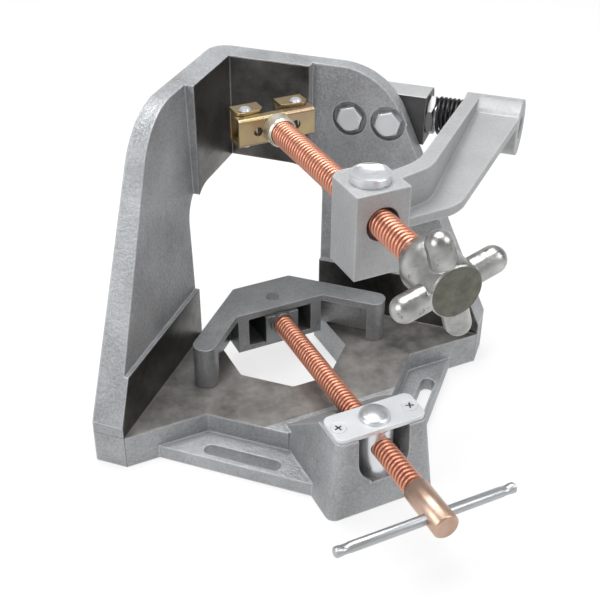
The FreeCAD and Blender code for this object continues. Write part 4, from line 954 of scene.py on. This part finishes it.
class CLAMP_OT_steel_fittings(bpy.types.Operator):
    """Give the bracket, bolts, block and pin their steel finishes"""

    bl_idname = "clamp.steel_fittings"
    bl_label = "Steel fittings"

    def execute(self, context):
        colours = context.scene.clamp_colours
        _, bar_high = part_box("bracket_bar")
        node_finish("bracket_bar", bar_finish(colours, bar_high[2]))
        bolt = plated_finish("bolt_steel", tinted(colours.zinc, 0.82), roughness=(0.36, 0.44),
                             edge_radius=0.0007, metallic=0.75)
        node_finish("bracket_bolts", bolt)
        pin = plated_finish("pin_steel", tinted(colours.zinc, 0.36), roughness=(0.3, 0.45),
                            edge_radius=0.0004)
        for node in ("jaw_pin", "swivel_block"):
            node_finish(node, pin)
        return {"FINISHED"}


class CLAMP_OT_stage(bpy.types.Operator):
    """Set up the floor, the light and the camera"""

    bl_idname = "clamp.stage"
    bl_label = "Stage"

    def execute(self, context):
        settings = context.scene.clamp_stage
        self.add_floor(settings)
        self.add_world(context.scene)
        self.add_lamps(context.scene)
        self.add_camera(context.scene, settings)
        context.scene.view_settings.view_transform = "Standard"
        return {"FINISHED"}

    def add_floor(self, settings):
        """A wide floor just below the clamp."""
        bm = bmesh.new()
        bmesh.ops.create_grid(bm, x_segments=1, y_segments=1, size=settings.floor_half)
        bmesh.ops.translate(bm, verts=bm.verts[:], vec=FLOOR_PLACE)
        floor = new_piece("floor", bm, floor_finish())

    def add_world(self, scene):
        """Even light, a sky that fades upwards in reflections, and a plain backdrop."""
        world = bpy.data.worlds.new("studio")
        scene.world = world
        world.use_nodes = True
        nodes, links = world.node_tree.nodes, world.node_tree.links
        light = nodes["Background"]
        light.inputs["Color"].default_value = (1.0, 1.0, 1.0, 1.0)
        light.inputs["Strength"].default_value = WORLD_LIGHT
        white = nodes.new("ShaderNodeBackground")
        white.inputs["Strength"].default_value = 1.0
        mirrored = nodes.new("ShaderNodeBackground")
        coords = nodes.new("ShaderNodeTexCoord")
        split = nodes.new("ShaderNodeSeparateXYZ")
        fade = nodes.new("ShaderNodeMapRange")
        for key, number in (("From Min", 0.0), ("From Max", SKY_FADE_HEIGHT),
                            ("To Min", 1.0), ("To Max", SKY_FADE_LEVEL)):
            fade.inputs[key].default_value = number
        links.new(coords.outputs["Generated"], split.inputs[0])
        links.new(split.outputs["Z"], fade.inputs["Value"])
        links.new(fade.outputs["Result"], mirrored.inputs["Strength"])
        rays = nodes.new("ShaderNodeLightPath")
        seen = nodes.new("ShaderNodeMath")
        seen.operation = "MAXIMUM"
        links.new(rays.outputs["Is Camera Ray"], seen.inputs[0])
        links.new(rays.outputs["Is Transmission Ray"], seen.inputs[1])
        first = nodes.new("ShaderNodeMixShader")
        second = nodes.new("ShaderNodeMixShader")
        for mix, sources in ((first, (rays.outputs["Is Glossy Ray"], light.outputs[0],
                                      mirrored.outputs[0])),
                             (second, (seen.outputs[0], first.outputs[0], white.outputs[0]))):
            for source, socket in zip(sources, mix.inputs):
                links.new(source, socket)
        links.new(second.outputs[0], nodes["World Output"].inputs["Surface"])

    def add_lamps(self, scene):
        """Square lamps that all point at the clamp."""
        for name, place, size, power in LAMPS:
            lamp = bpy.data.lights.new(name, "AREA")
            lamp.shape, lamp.size, lamp.energy = "SQUARE", size, power
            holder = bpy.data.objects.new(name, lamp)
            holder.location = place
            aim = LAMP_AIM - Vector(place)
            holder.rotation_euler = aim.to_track_quat("-Z", "Y").to_euler()
            scene.collection.objects.link(holder)

    def add_camera(self, scene, settings):
        """The camera, from the place and turns in the panel."""
        data = bpy.data.cameras.new("camera")
        data.lens, data.sensor_width = settings.lens, SENSOR_WIDTH
        data.shift_x, data.shift_y = CAMERA_SHIFT
        camera = bpy.data.objects.new("camera", data)
        turn = (Matrix.Rotation(settings.azimuth, 4, "Z")
                @ Matrix.Rotation(math.pi / 2 - settings.elevation, 4, "X")
                @ Matrix.Rotation(settings.roll, 4, "Z"))
        camera.matrix_world = Matrix.Translation(Vector(settings.place)) @ turn
        scene.collection.objects.link(camera)
        scene.camera = camera


class CLAMP_PT_panel(bpy.types.Panel):
    """The clamp's pieces, sizes and colours"""

    bl_idname = "CLAMP_PT_panel"
    bl_label = "Corner clamp"
    bl_space_type = "VIEW_3D"
    bl_region_type = "UI"
    bl_category = "Clamp"

    def draw(self, context):
        for operator in OPERATORS:
            self.layout.operator(operator.bl_idname)
        for name in GROUPS:
            box = self.layout.box()
            group = getattr(context.scene, name)
            for key in group.bl_rna.properties.keys():
                if key not in ("rna_type", "name"):
                    box.prop(group, key)


OPERATORS = (CLAMP_OT_lower_spindle, CLAMP_OT_upper_spindle, CLAMP_OT_cross_handle,
             CLAMP_OT_plate_screws, CLAMP_OT_pivot_spring, CLAMP_OT_stud_nut,
             CLAMP_OT_nut_heads, CLAMP_OT_castings, CLAMP_OT_plated_fittings,
             CLAMP_OT_steel_fittings, CLAMP_OT_stage)
GROUPS = {"clamp_threads": ThreadSizes, "clamp_fittings": FittingSizes,
          "clamp_colours": FinishColours, "clamp_stage": StageSettings}


def register():
    """Add the classes, and the settings on the scene."""
    for kind in (*GROUPS.values(), *OPERATORS, CLAMP_PT_panel):
        bpy.utils.register_class(kind)
    for name, group in GROUPS.items():
        setattr(bpy.types.Scene, name, bpy.props.PointerProperty(type=group))


def unregister():
    """Take the settings and the classes away again."""
    for name in GROUPS:
        delattr(bpy.types.Scene, name)
    for kind in (CLAMP_PT_panel, *reversed(OPERATORS), *GROUPS.values()):
        bpy.utils.unregister_class(kind)


def main():
    """Build every piece."""
    register()
    bpy.ops.clamp.lower_spindle()
    bpy.ops.clamp.upper_spindle()
    bpy.ops.clamp.cross_handle()
    bpy.ops.clamp.plate_screws()
    bpy.ops.clamp.pivot_spring()
    bpy.ops.clamp.stud_nut()
    bpy.ops.clamp.nut_heads()
    bpy.ops.clamp.castings()
    bpy.ops.clamp.plated_fittings()
    bpy.ops.clamp.steel_fittings()
    bpy.ops.clamp.stage()


if __name__ == "__main__":
    main()
